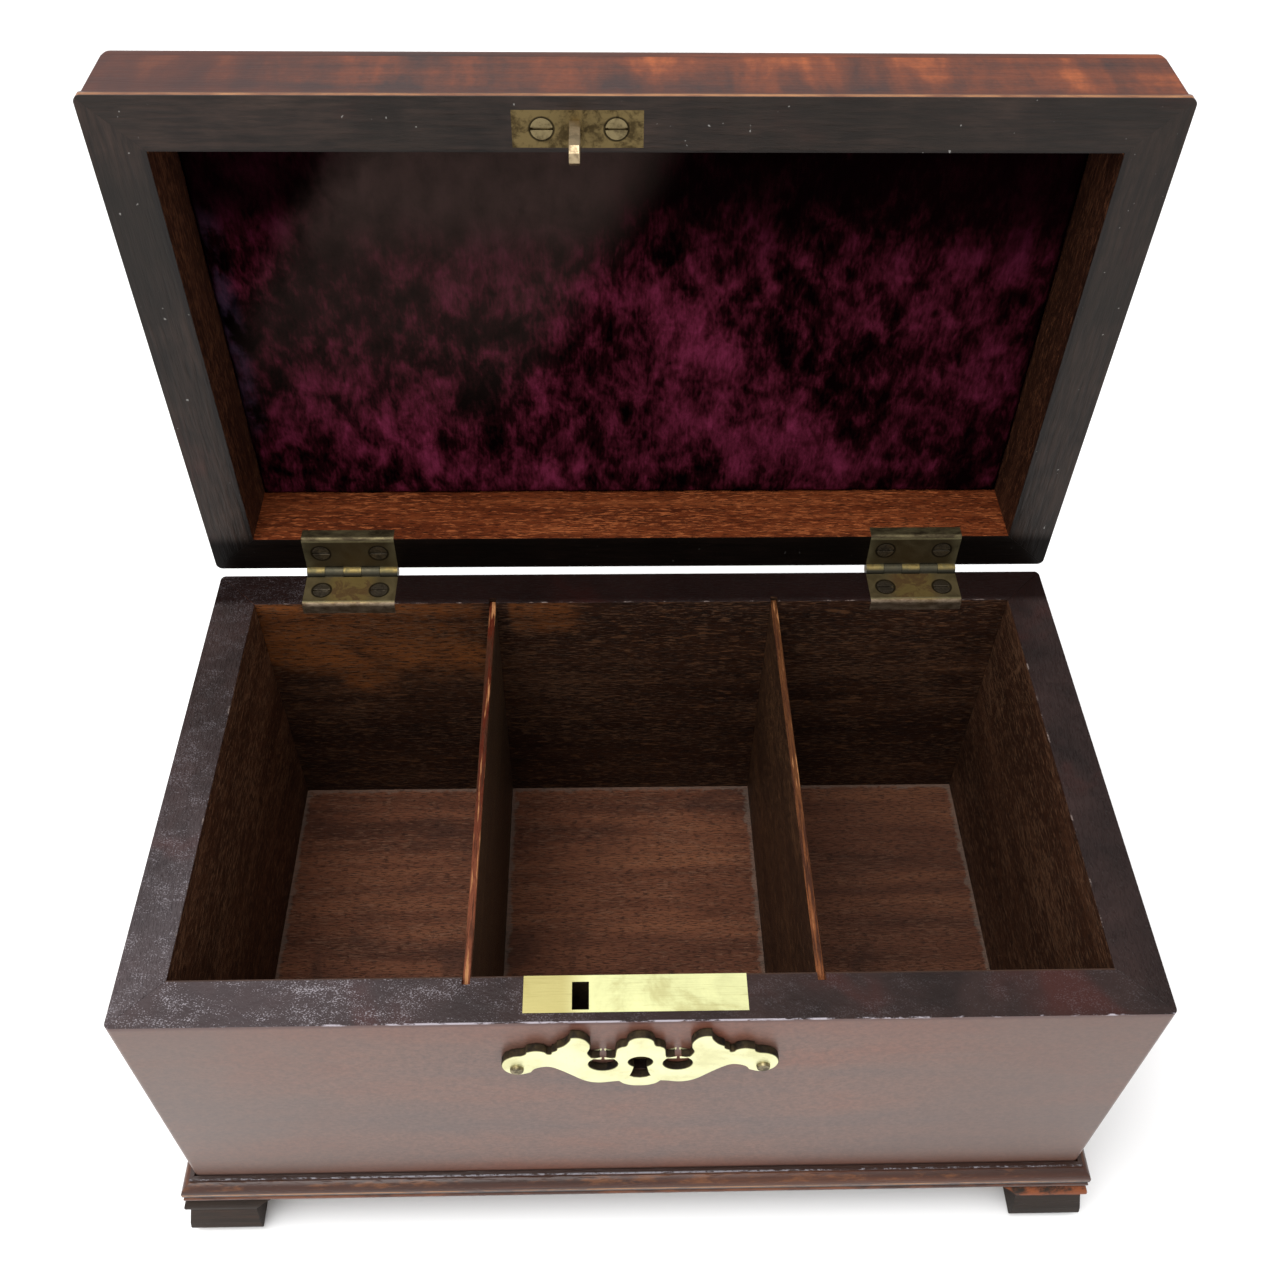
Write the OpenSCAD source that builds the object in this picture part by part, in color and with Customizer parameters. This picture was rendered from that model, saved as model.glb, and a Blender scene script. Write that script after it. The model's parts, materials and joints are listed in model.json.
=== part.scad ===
// Tea caddy: a mahogany box with three wells, brass lock, escutcheon and hinges.
// It is drawn with its lid standing open. +Y points to the back, +Z up.
// The origin lies under the middle of the open caddy's outline, on the floor.

/* [Case] */
// Outside width of the case
case_w = 250; // [230:1:280]
// Outside depth of the case
case_d = 146.5; // [140:0.5:165]
// Height of the plain faces, from plinth to rim
face_h = 91; // [86:1:105]
// Thickness of the four walls
wall_t = 12; // [12:0.5:14]
// Depth of the wells below the rim
well_d = 94.5; // [88:0.5:95]
// Radius of the upright corners
corner_r = 1.5; // [0.5:0.5:2.5]
// Distance of each divider from the middle
divider_x = 42.3; // [38:0.5:50]
// Thickness of the dividers
divider_t = 2; // [1.5:0.5:3]
// Drop of the dividers' top edge below the rim
divider_drop = 1.5; // [1:0.5:4]

/* [Plinth and feet] */
// Height of the plinth moulding
plinth_h = 9; // [8.5:0.5:11]
// Reach of the plinth moulding beyond the walls
plinth_out = 4; // [4:0.5:5]
// Height of the bracket feet
foot_h = 19.5; // [17:0.5:22]
// Reach of the feet beyond the walls
foot_out = 5.5; // [5.5:0.1:5.9]
// Width of a foot where it stands
foot_w = 15; // [15:0.5:22]
// Length of a foot bracket along the plinth
bracket_l = 21.5; // [21.5:0.5:28]

/* [Lid] */
// Height of the lid
lid_h = 27.5; // [27:0.5:32]
// Thickness of the lid's top board
lid_top_t = 5.5; // [5:0.5:6]
// Reach of the lid's lip beyond the case
lid_lip = 1.2; // [0.6:0.2:2]
// Height of the lid's lip, up to the end of its bevel
lip_h = 4; // [3:0.5:5]
// Radius of the lid's top edge along the front and back
lid_round = 4; // [3:0.5:5]
// Radius of the lid's top edge along the sides
side_round = 6; // [4:0.5:7]
// Thickness of the velvet lining
velvet_t = 1.8; // [1.5:0.1:2.5]
// Thickness of the card behind the velvet
card_t = 0.8; // [0.5:0.1:1]
// Angle at which the lid stands open on its stops
open_angle = 90; // [0:5:90]

/* [Hinges] */
// Distance of each hinge from the middle
hinge_x = 85.3; // [75:0.5:95]
// Length of a hinge
hinge_l = 27.5; // [25:0.5:32]
// Radius of the hinge knuckles
knuckle_r = 1.9; // [1.8:0.1:2]
// Distance of the hinge pin behind the back wall
pin_back = 1.5; // [1.5:0.1:1.8]
// Radius of the hinge pins
pin_r = 0.8; // [0.7:0.05:0.9]
// Thickness of the hinge leaves
leaf_t = 1.1; // [1:0.1:1.2]
// Depth of the leaf's turned-down edge
flange_h = 4; // [2.5:0.1:5]

/* [Lock] */
// Width of the lock
lock_w = 53; // [52:0.5:56]
// Offset of the lock's middle to the right of the case's middle
lock_x = -2.2; // [-3:0.1:3]
// Height of the lock's back plate
lock_h = 31; // [30:0.5:34]
// Depth of the selvage, the strip let into the rim
selvage_d = 9.5; // [9.3:0.1:9.7]
// Thickness of the lock's plates
plate_t = 1.2; // [1:0.1:1.4]
// Offset of the keyhole from the case's middle
key_x = -1; // [-2:0.1:1]
// Drop of the keyhole below the rim
key_drop = 17; // [16:0.5:18]
// Travel of the bolt
bolt_travel = 5; // [4:0.5:5]
// Offset of the catch hook from the case's middle
hook_x = -14.9; // [-15.5:0.1:-14.5]
// Length of the catch hook below the lid
hook_l = 12.8; // [12:0.1:14]

/* [Hidden] */

$fn = 64;
half_w = case_w / 2;
half_d = case_d / 2;
rim_z = foot_h + plinth_h + face_h;
wall_h = rim_z - foot_h;
well_z = rim_z - well_d;
base_t = well_z - foot_h;
in_x = half_w - wall_t;
in_y = half_d - wall_t;
rebate = 5;
groove = 2;
snug = 0.03;
running = 0.05;
sweep_gap = 0.3;

// The lid meets the rim with a hair's gap, and the hinge pins lie half-way across it.
lid_gap = 0.2;
lid_z = rim_z + lid_gap;
pin_y = half_d + pin_back;
pin_z = rim_z + lid_gap / 2;
lid_face = 0.3;
lip_flat = 1.3;
top_z = lid_h - lid_top_t;
lid_corner_r = 1.8;
knuckles = 5;
knuckle_l = hinge_l / knuckles;
bend_r = 1.3;
heel_l = 5.5;
hinge_screw_x = 8.6;
hinge_screw_y = half_d - 6.2;
screw_r = 2.6;
screw_head = 1.3;
screw_shank_r = 1.2;

// The case stands forward of the origin, which is the middle of the open caddy's box.
case_y = (foot_out - pin_back - lid_h) / 2;

selvage_y = -in_y - selvage_d;
slot_x = hook_x - 0.3;
slot_w = 4;
slot_y0 = selvage_y + 0.7;
slot_y1 = slot_y0 + 7.1;
cap_wall = 0.8;
cap_x0 = lock_x - lock_w / 2 + 6.5;
cap_x1 = lock_x + lock_w / 2 - 6.5;
cap_z0 = rim_z - lock_h + 3;
cap_y = selvage_y + 0.2;
works_y = -in_y - plate_t;
hook_t = 2.5;
hook_d = 4.8;
hook_y = slot_y0 + 1.2;
bolt_y = hook_y + 1.3;
bolt_t = 2.2;
spring_rise = 1.6;
spring_t = 0.5;
bolt_top = rim_z - plate_t - spring_t - spring_rise - 0.05;
bolt_h = 4;
bolt_tip = hook_x + hook_t / 2 + 0.5;
stud_r = 1;
key_z = rim_z - key_drop;

// ---------- placing ----------

module case_part() {
    translate([0, case_y, 0]) children();
}

// Draws a part of the closed lid, then swings it open about the hinge pins.
module lid_part() {
    translate([0, case_y + pin_y, pin_z])
        rotate([-open_angle, 0, 0])
        translate([0, -pin_y, -pin_z])
        children();
}

module both_sides(x) {
    for (side = [-1, 1]) translate([side * x, 0, 0]) children();
}

// Extrudes a (y, z) outline along X, from x0 to x1.
module along_x(x0, x1) {
    translate([x0, 0, 0])
        rotate([90, 0, 90])
        linear_extrude(x1 - x0)
        children();
}

// Extrudes an (x, z) outline along Y, from y0 to y1.
module along_y(y0, y1) {
    translate([0, y1, 0])
        rotate([90, 0, 0])
        linear_extrude(y1 - y0)
        children();
}

module block(x0, x1, y0, y1, z0, z1) {
    translate([x0, y0, z0]) cube([x1 - x0, y1 - y0, z1 - z0]);
}

// A rectangle centred on x, with its four corners rounded.
module round_plan(x, y0, y1, r) {
    translate([-x + r, y0]) square([2 * (x - r), y1 - y0]);
    translate([-x, y0 + r]) square([2 * x, y1 - y0 - 2 * r]);
    for (sx = [-1, 1])
        for (cy = [y0 + r, y1 - r])
            translate([sx * (x - r), cy]) circle(r);
}

// ---------- case ----------

// The mitred quarter of a frame that lies on its front side, seen from above.
module front_quarter(x, y0, t) {
    polygon([[-x, y0], [x, y0], [x - t, y0 + t], [-x + t, y0 + t]]);
}

module back_quarter(x, y1, tx, ty) {
    polygon([[-x, y1], [x, y1], [x - tx, y1 - ty], [-x + tx, y1 - ty]]);
}

module side_quarter(side, x, y0, y1, t, back_t) {
    polygon([[side * x, y0], [side * x, y1], [side * (x - t), y1 - back_t],
        [side * (x - t), y0 + t]]);
}

module wall_blank() {
    difference() {
        translate([0, 0, foot_h])
            linear_extrude(wall_h)
            intersection() {
                round_plan(half_w, -half_d, half_d, corner_r);
                children();
            }
        block(-in_x - rebate, in_x + rebate, -in_y - rebate, in_y + rebate,
            foot_h - 1, well_z);
    }
}

module divider_grooves() {
    for (side = [-1, 1])
        block(side * divider_x - divider_t / 2, side * divider_x + divider_t / 2,
            -in_y - groove, in_y + groove, well_z, rim_z + 1);
}

// Round head and slot of the keyhole, centred on the key pin.
module keyhole_outline(grow = 0) {
    circle(2.9 + grow);
    polygon([[-2.2 - grow, -8.4 - grow], [2.2 + grow, -8.4 - grow], [1.5 + grow, 0],
        [-1.5 - grow, 0]]);
}

module front_wall() color([0.42, 0.25, 0.2]) case_part() difference() {
    wall_blank() front_quarter(half_w, -half_d, wall_t);
    divider_grooves();
    block(lock_x - lock_w / 2, lock_x + lock_w / 2, selvage_y, -in_y + 1,
        rim_z - plate_t, rim_z + 1);
    block(lock_x - lock_w / 2, lock_x + lock_w / 2, works_y, -in_y + 1,
        rim_z - lock_h, rim_z + 1);
    block(cap_x0, cap_x1, cap_y, works_y + 1, cap_z0, rim_z);
    translate([key_x, 0, key_z]) along_y(-half_d - 1, cap_y + 1) keyhole_outline();
    lock_screw_places() screw_bore();
    escutcheon_pin_places() rotate([-90, 0, 0]) cylinder(h = 6, r = 0.6 + snug);
}

module back_wall() color([0.3, 0.14, 0.1]) case_part() difference() {
    wall_blank() back_quarter(half_w, half_d, wall_t, wall_t);
    divider_grooves();
    both_sides(hinge_x) hinge_pocket();
    hinge_screw_places() screw_bore();
}

module left_wall() color([0.27, 0.12, 0.09]) case_part()
    wall_blank() side_quarter(-1, half_w, -half_d, half_d, wall_t, wall_t);

module right_wall() color([0.27, 0.12, 0.09]) case_part()
    wall_blank() side_quarter(1, half_w, -half_d, half_d, wall_t, wall_t);

module base_board() color([0.5, 0.26, 0.16]) case_part()
    block(-in_x - rebate, in_x + rebate, -in_y - rebate, in_y + rebate,
        foot_h, foot_h + base_t);

module divider(side) color([0.45, 0.2, 0.12]) case_part()
    block(side * divider_x - divider_t / 2, side * divider_x + divider_t / 2,
        -in_y - groove, in_y + groove, well_z, rim_z - divider_drop);

// ---------- plinth and feet ----------

// Section of the plinth: bead, quirk, arris, ovolo and fillet, standing out from the wall.
module plinth_section() {
    bead_r = 1.3;
    arris_z = 3.3;
    ovolo_z = 4.6;
    ovolo_r = 3;
    square([plinth_out - 0.8, arris_z + 0.3]);
    translate([plinth_out - bead_r, bead_r]) circle(bead_r);
    translate([0, arris_z]) square([plinth_out - 0.1, ovolo_z - arris_z]);
    intersection() {
        translate([plinth_out - 0.1 - ovolo_r, ovolo_z]) circle(ovolo_r);
        translate([0, ovolo_z]) square([plinth_out, ovolo_r]);
    }
    square([1.3, plinth_h]);
}

module plinth_front() color([0.42, 0.2, 0.12]) case_part() intersection() {
    along_x(-half_w - plinth_out, half_w + plinth_out)
        translate([-half_d, foot_h]) mirror([1, 0]) plinth_section();
    linear_extrude(rim_z) polygon([[-half_w, -half_d], [half_w, -half_d],
        [half_w + 9, -half_d - 9], [-half_w - 9, -half_d - 9]]);
}

module plinth_side(side) color([0.42, 0.2, 0.12]) case_part() intersection() {
    along_y(-half_d - plinth_out, half_d)
        translate([side * half_w, foot_h]) mirror([side < 0 ? 1 : 0, 0]) plinth_section();
    linear_extrude(rim_z) polygon([[side * half_w, half_d], [side * half_w, -half_d],
        [side * (half_w + 9), -half_d - 9], [side * (half_w + 9), half_d]]);
}

// Section of an ogee foot: a swelling above, and a leg that turns out to a rounded toe.
module foot_section() {
    swell_r = 3.4;
    toe_r = 3.4;
    translate([-6, toe_r]) square([8.8, foot_h - toe_r]);
    translate([-6, 0]) square([foot_out - toe_r + 6, foot_h / 2]);
    translate([foot_out - 0.8 - swell_r, foot_h - swell_r]) circle(swell_r);
    translate([foot_out - toe_r, toe_r]) circle(toe_r);
    polygon([[0, toe_r], [foot_out, toe_r], [foot_out - 0.3, 6], [foot_out - 0.9, 9],
        [foot_out - 1.5, 12], [foot_out - 1.9, 14], [0, 14]]);
}

// Face of a foot: a standing leg, and a bracket that sweeps up to the plinth.
module foot_outline() {
    sweep_r = bracket_l - foot_w;
    heel_r = 1.6;
    difference() {
        translate([-6, 0]) square([bracket_l + 6, foot_h]);
        translate([bracket_l, foot_h - sweep_r - 0.6]) circle(sweep_r);
        translate([foot_w, -1]) square([bracket_l, foot_h - sweep_r + 0.4]);
        difference() {
            translate([foot_w - heel_r, -1]) square([heel_r + 1, heel_r + 1]);
            translate([foot_w - heel_r, heel_r]) circle(heel_r);
        }
    }
}

// One bracket, with the case's corner at the origin, running along +X and facing -Y.
module foot_bracket(mitred = true) {
    intersection() {
        along_x(-6, bracket_l) mirror([1, 0]) foot_section();
        along_y(-6, 7) foot_outline();
        linear_extrude(foot_h)
            polygon(mitred ? [[0, 0], [6, 6], [bracket_l, 6], [bracket_l, -6], [-6, -6]]
                : [[0, 6], [bracket_l, 6], [bracket_l, -6], [0, -6]]);
    }
}

module foot_face(side) color([0.3, 0.15, 0.1]) case_part()
    translate([side * half_w, -half_d, 0]) mirror([side > 0 ? 1 : 0, 0, 0]) foot_bracket();

module foot_front_side(side) color([0.3, 0.15, 0.1]) case_part()
    translate([side * half_w, -half_d, 0]) mirror([side > 0 ? 1 : 0, 0, 0])
    mirror([1, -1, 0]) foot_bracket();

module foot_back_side(side) color([0.3, 0.15, 0.1]) case_part()
    translate([side * half_w, half_d, 0]) mirror([side > 0 ? 1 : 0, 0, 0])
    rotate([0, 0, -90]) foot_bracket(false);

// A plain brace across the back of each rear foot, behind the case's back edge.
module foot_back_brace(side) color([0.3, 0.15, 0.1]) case_part()
    translate([side * half_w, half_d, 0]) mirror([side > 0 ? 1 : 0, 0, 0])
    intersection() {
        block(6, bracket_l, -6, 0, 0, foot_h);
        along_y(-6, 0) foot_outline();
    }

module foot_glue_blocks() color([0.55, 0.35, 0.2]) case_part()
    for (sx = [-1, 1])
        for (sy = [-1, 1])
            translate([sx * (half_w - 10.5), sy * (half_d - 10.5), foot_h / 2 + 1])
                cube([9, 9, foot_h - 2], center = true);

// ---------- escutcheon ----------

plate_front = 2.2;
lobe_x = 29.8;
lobe_z = -1.6;
piercing_x = 9;

// Half of the plate's outline, to the right of its middle; z counts from the key pin.
module escutcheon_half() {
    // crest over the keyhole, and its shoulder
    translate([0, 8.9]) circle(4.2);
    translate([0, 0]) square([4.2, 9]);
    translate([4, 4.6]) circle(2.1);
    translate([0, -9]) square([6.1, 13.5]);
    // lobe under the keyhole, then the belly round the piercing
    translate([0, -9.2]) circle(4.4);
    translate([10.2, -5.6]) circle(6);
    translate([5, -6]) square([9, 8.4]);
    // leaf that curls up beside the crest
    translate([14.6, 11.2]) circle(2.4);
    polygon([[12, 2], [20, 2], [21, 4.6], [18.4, 8.6], [17, 11.2], [12.2, 11.2]]);
    // arm that runs out to the end lobe
    translate([24.4, 3.3]) circle(3.7);
    polygon([[13, -8], [15.8, -7.6], [22.4, -2], [29.6, -2.4], [29.6, 2.6], [24, 4],
        [13, 3]]);
    translate([lobe_x, lobe_z]) circle(4.2);
}

module escutcheon_outline() {
    difference() {
        union() {
            escutcheon_half();
            mirror([1, 0]) escutcheon_half();
        }
        keyhole_outline();
        for (side = [-1, 1]) {
            // half-moon piercing, open at the top through a narrow gap
            translate([side * piercing_x, -1]) intersection() {
                circle(3.5);
                translate([-4, -4]) square([8, 6.4]);
            }
            translate([side * piercing_x - 0.8, -1]) square([1.6, 6]);
        }
    }
}

module escutcheon_pin_places() {
    for (side = [-1, 1])
        translate([key_x + side * lobe_x, -half_d, key_z + lobe_z - 1]) children();
}

module escutcheon() color([0.9, 0.8, 0.5]) case_part() difference() {
    translate([key_x, 0, key_z])
        along_y(-half_d - plate_front, -half_d) escutcheon_outline();
    escutcheon_pin_places() rotate([90, 0, 0])
        translate([0, 0, -1]) cylinder(h = 4, r = 0.6 + snug);
}

module escutcheon_pins() color([0.75, 0.62, 0.35]) case_part()
    escutcheon_pin_places() {
        rotate([-90, 0, 0]) translate([0, 0, -plate_front]) cylinder(h = 7, r = 0.6);
        translate([0, -plate_front, 0]) intersection() {
            sphere(1.7);
            rotate([90, 0, 0]) cylinder(h = 0.8, r = 2);
        }
    }

// ---------- screws ----------

// A flat-headed screw, its head level with z = 0 and its slot along X.
module flat_screw(length) {
    difference() {
        union() {
            translate([0, 0, -screw_head])
                cylinder(h = screw_head, r1 = screw_shank_r, r2 = screw_r);
            translate([0, 0, -length]) cylinder(h = length - 1, r = screw_shank_r);
        }
        translate([-screw_r - 1, -0.3, -0.6]) cube([2 * screw_r + 2, 0.6, 1]);
    }
}

module screw_bore(length = 9) {
    translate([0, 0, -screw_head - snug])
        cylinder(h = screw_head, r1 = screw_shank_r + snug, r2 = screw_r + snug);
    translate([0, 0, -snug - 0.001]) cylinder(h = 1, r = screw_r + snug);
    translate([0, 0, -length]) cylinder(h = length, r = screw_shank_r + snug);
}

// ---------- hinges ----------

// Turns something drawn for the case's leaf into its twin on the closed lid.
module onto_lid() {
    translate([0, 0, 2 * pin_z]) mirror([0, 0, 1]) children();
}

// Section of a leaf: flat on the rim, then turned down over the wall's inner edge.
module leaf_section() {
    leaf_end = pin_y - knuckle_r - sweep_gap;
    translate([in_y + bend_r, rim_z - leaf_t]) square([leaf_end - in_y - bend_r, leaf_t]);
    translate([in_y, rim_z - flange_h]) square([leaf_t, flange_h - bend_r]);
    intersection() {
        translate([in_y + bend_r, rim_z - bend_r]) difference() {
            circle(bend_r);
            circle(bend_r - leaf_t);
        }
        translate([in_y, rim_z - bend_r]) square(bend_r);
    }
}

module knuckle(k, bore_r) {
    x0 = -hinge_l / 2 + k * knuckle_l + 0.05;
    x1 = x0 + knuckle_l - 0.1;
    difference() {
        union() {
            translate([x0, pin_y, pin_z]) rotate([0, 90, 0])
                cylinder(h = x1 - x0, r = knuckle_r);
            block(x0, x1, pin_y - knuckle_r - sweep_gap - 0.01, pin_y,
                rim_z - leaf_t, rim_z);
        }
        translate([x0 - 1, pin_y, pin_z]) rotate([0, 90, 0])
            cylinder(h = knuckle_l + 2, r = bore_r);
    }
}

module leaf(own, bore_r) {
    difference() {
        union() {
            along_x(-hinge_l / 2, hinge_l / 2) leaf_section();
            for (k = own) knuckle(k, bore_r);
        }
        both_sides(hinge_screw_x) translate([0, hinge_screw_y, rim_z]) screw_bore();
    }
}

module case_leaf(side) color([0.5, 0.42, 0.2]) case_part()
    translate([side * hinge_x, 0, 0]) leaf([1, 3], pin_r + running);

// The lid's knuckles carry a heel, which meets the back wall when the lid stands open.
module lid_leaf(side) color([0.42, 0.38, 0.2]) lid_part() onto_lid()
    translate([side * hinge_x, 0, 0]) {
        leaf([0, 2, 4], pin_r + snug);
        for (k = [0, 2, 4])
            block(-hinge_l / 2 + k * knuckle_l + 0.05, -hinge_l / 2 + (k + 1) * knuckle_l - 0.05,
                pin_y + pin_r + 0.3, pin_y + heel_l, pin_z + 0.35, pin_z + pin_back - 0.05);
    }

module hinge_pin(side) color([0.7, 0.6, 0.35]) case_part()
    translate([side * hinge_x - hinge_l / 2, pin_y, pin_z])
    rotate([0, 90, 0]) cylinder(h = hinge_l, r = pin_r);

// What is cut from the wood for a leaf and for the turning knuckles.
module hinge_pocket() {
    block(-hinge_l / 2, hinge_l / 2, in_y + leaf_t, half_d + 1, rim_z - leaf_t, rim_z + 1);
    block(-hinge_l / 2, hinge_l / 2, in_y - 1, in_y + bend_r, rim_z - flange_h, rim_z + 1);
    translate([-hinge_l / 2, pin_y, pin_z]) rotate([0, 90, 0])
        cylinder(h = hinge_l, r = knuckle_r + sweep_gap);
}

module hinge_screw_places() {
    for (side = [-1, 1])
        both_sides(hinge_screw_x)
            translate([side * hinge_x, hinge_screw_y, rim_z]) children();
}

module hinge_case_screws() color([0.45, 0.38, 0.25]) case_part()
    hinge_screw_places() flat_screw(8.5);

module hinge_lid_screws() color([0.45, 0.38, 0.25]) lid_part() onto_lid()
    hinge_screw_places() flat_screw(8.5);

// ---------- lock ----------

module lock_screw_places() {
    for (place = [[-23.2, -7], [23.2, -7], [-23.2, -24], [23.2, -24]])
        translate([lock_x + place[0], -in_y, rim_z + place[1]]) rotate([-90, 0, 0]) children();
}

// Back plate against the wall's inner face, and selvage along the rim, in one piece.
module lock_plate() color([0.9, 0.82, 0.5]) case_part() difference() {
    union() {
        block(lock_x - lock_w / 2, lock_x + lock_w / 2, selvage_y, -in_y,
            rim_z - plate_t, rim_z);
        block(lock_x - lock_w / 2, lock_x + lock_w / 2, works_y, -in_y,
            rim_z - lock_h, rim_z);
    }
    block(slot_x - slot_w / 2, slot_x + slot_w / 2, slot_y0, slot_y1, rim_z - 5, rim_z + 1);
    lock_screw_places() screw_bore();
}

// Open-backed cover over the works, with the keyhole in its face.
module lock_cap() color([0.6, 0.5, 0.28]) case_part() difference() {
    block(cap_x0, cap_x1, cap_y, works_y, cap_z0, rim_z - plate_t);
    block(cap_x0 + cap_wall, cap_x1 - cap_wall, cap_y + cap_wall, works_y + 1,
        cap_z0 + cap_wall, rim_z);
    translate([key_x, 0, key_z]) along_y(cap_y - 1, cap_y + 2) keyhole_outline();
}

stud_places = [[-4.5, 0], [7.5, 0]];

module lock_cap_studs() color([0.7, 0.6, 0.35]) case_part()
    for (place = stud_places)
        translate([key_x + place[0], cap_y + cap_wall, bolt_top - bolt_h / 2])
            rotate([-90, 0, 0]) cylinder(h = works_y - cap_y - cap_wall, r = stud_r);

module lock_key_pin() color([0.55, 0.55, 0.55]) case_part()
    translate([key_x, cap_y, key_z]) rotate([-90, 0, 0])
    cylinder(h = works_y - cap_y, r = 1);

module lock_screws() color([0.6, 0.5, 0.3]) case_part()
    lock_screw_places() flat_screw(6.5);

// The bolt slides towards the hook's eye; its two slots run on the studs.
module lock_bolt() color([0.8, 0.7, 0.42]) case_part() difference() {
    union() {
        block(bolt_tip, key_x + 15, bolt_y, bolt_y + bolt_t, bolt_top - bolt_h, bolt_top);
        block(key_x - 6, key_x + 6, bolt_y, bolt_y + bolt_t, bolt_top - 8.5, bolt_top - 3);
    }
    for (place = stud_places) stud_slot(key_x + place[0]);
    block(key_x - 2.6, key_x + 2.6, bolt_y - 1, bolt_y + bolt_t + 1,
        bolt_top - 9, bolt_top - 6.2);
}

// The bolt moves to the left to lock, so each slot reaches to the right of its stud.
module stud_slot(x) {
    r = stud_r + 0.15;
    mid_z = bolt_top - bolt_h / 2;
    for (end = [x, x + bolt_travel])
        translate([end, bolt_y - 1, mid_z])
            rotate([-90, 0, 0]) cylinder(h = bolt_t + 2, r = r);
    block(x, x + bolt_travel, bolt_y - 1, bolt_y + bolt_t + 1, mid_z - r, mid_z + r);
}

// A bowed leaf spring that rides on the bolt and bears on the selvage above it.
module lock_spring() color([0.35, 0.35, 0.38]) case_part() {
    span = 9;
    bow_r = (span * span + spring_rise * spring_rise) / (2 * spring_rise);
    translate([key_x, 0, bolt_top + 0.05 + spring_rise - bow_r])
        along_y(bolt_y, bolt_y + bolt_t) intersection() {
            difference() {
                circle(bow_r + spring_t, $fn = 128);
                circle(bow_r, $fn = 128);
            }
            translate([-span, bow_r - spring_rise]) square([2 * span, 6]);
        }
}

// ---------- lid ----------

// Outline of the closed lid: lip, bevel, upright face and round top edge.
// The high side stands flush with the case and has no lip when lipped is false.
module lid_outline(low, high, r, lipped = true) {
    shoulder_z = lid_h - r;
    low_face = low - lid_face;
    high_face = high + (lipped ? lid_face : 0);
    high_lip = high + (lipped ? lid_lip : 0);
    polygon([[low - lid_lip, 0], [high_lip, 0], [high_lip, lip_flat], [high_face, lip_h],
        [high_face, shoulder_z], [low_face, shoulder_z], [low_face, lip_h],
        [low - lid_lip, lip_flat]]);
    translate([low_face + r, shoulder_z - 1])
        square([high_face - low_face - 2 * r, r + 1]);
    for (x = [low_face + r, high_face - r])
        translate([x, shoulder_z]) circle(r);
}

module lid_body() {
    translate([0, 0, lid_z]) intersection() {
        along_y(-case_d, case_d) lid_outline(-half_w, half_w, side_round);
        along_x(-case_w, case_w) lid_outline(-half_d, half_d, lid_round, lipped = false);
        linear_extrude(lid_h)
            round_plan(half_w + lid_lip, -half_d - lid_lip, half_d, lid_corner_r);
    }
}

module lid_rail() {
    difference() {
        intersection() {
            lid_body();
            translate([0, 0, lid_z]) linear_extrude(top_z) children();
        }
        block(-in_x, in_x, -in_y, in_y, lid_z - 1, lid_z + lid_h);
    }
}

module lid_rail_front() color([0.4, 0.22, 0.18]) lid_part() difference() {
    lid_rail() front_quarter(half_w + lid_lip, -half_d - lid_lip, wall_t + lid_lip);
    translate([0, 0, lid_z]) block(catch_x0, catch_x1, catch_y0, catch_y1, -1, plate_t);
    catch_screw_places() screw_bore();
}

module lid_rail_back() color([0.45, 0.2, 0.12]) lid_part() difference() {
    lid_rail() back_quarter(half_w + lid_lip, half_d, wall_t + lid_lip, wall_t);
    both_sides(hinge_x) onto_lid() hinge_pocket();
    onto_lid() hinge_screw_places() screw_bore();
}

module lid_rail_left() color([0.3, 0.14, 0.1]) lid_part()
    lid_rail() side_quarter(-1, half_w + lid_lip, -half_d - lid_lip, half_d,
        wall_t + lid_lip, wall_t);

module lid_rail_right() color([0.3, 0.14, 0.1]) lid_part()
    lid_rail() side_quarter(1, half_w + lid_lip, -half_d - lid_lip, half_d,
        wall_t + lid_lip, wall_t);

module lid_top() color([0.35, 0.16, 0.1]) lid_part() intersection() {
    lid_body();
    block(-case_w, case_w, -case_d, case_d, lid_z + top_z, lid_z + lid_h + 1);
}

module lining_card() color([0.75, 0.7, 0.6]) lid_part()
    block(-in_x + 0.5, in_x - 0.5, -in_y + 0.5, in_y - 0.5,
        lid_z + top_z - card_t, lid_z + top_z);

module velvet_lining() color([0.28, 0.04, 0.13]) lid_part()
    block(-in_x + 0.3, in_x - 0.3, -in_y + 0.3, in_y - 0.3,
        lid_z + top_z - card_t - velvet_t, lid_z + top_z - card_t);

// ---------- catch ----------

catch_x0 = -29.3;
catch_x1 = 0.8;
catch_y0 = selvage_y - 0.6;
catch_y1 = selvage_y + 8.4;

module catch_screw_places() {
    for (x = [-22.5, -5.4])
        translate([x, selvage_y + 3.9, lid_z]) rotate([180, 0, 0]) children();
}

module catch_plate() color([0.45, 0.4, 0.2]) lid_part() difference() {
    block(catch_x0, catch_x1, catch_y0, catch_y1, lid_z, lid_z + plate_t);
    block(hook_x - hook_t / 2, hook_x + hook_t / 2, hook_y, hook_y + hook_d,
        lid_z - 1, lid_z + plate_t + 1);
    catch_screw_places() screw_bore();
}

// A flat hook riveted through the plate, with an eye for the bolt.
module catch_hook() color([0.5, 0.44, 0.26]) lid_part() difference() {
    along_x(hook_x - hook_t / 2, hook_x + hook_t / 2) polygon([
        [hook_y, lid_z + plate_t], [hook_y, lid_z - hook_l + 1.6],
        [hook_y + 1.2, lid_z - hook_l], [hook_y + hook_d - 1.2, lid_z - hook_l],
        [hook_y + hook_d, lid_z - hook_l + 1.6], [hook_y + hook_d, lid_z + plate_t]]);
    block(hook_x - 3, hook_x + 3, bolt_y - 0.35, bolt_y + bolt_t + 0.35,
        bolt_top - bolt_h - 0.7, bolt_top + 0.7);
}

module catch_screws() color([0.5, 0.44, 0.26]) lid_part()
    catch_screw_places() flat_screw(8.5);

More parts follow.
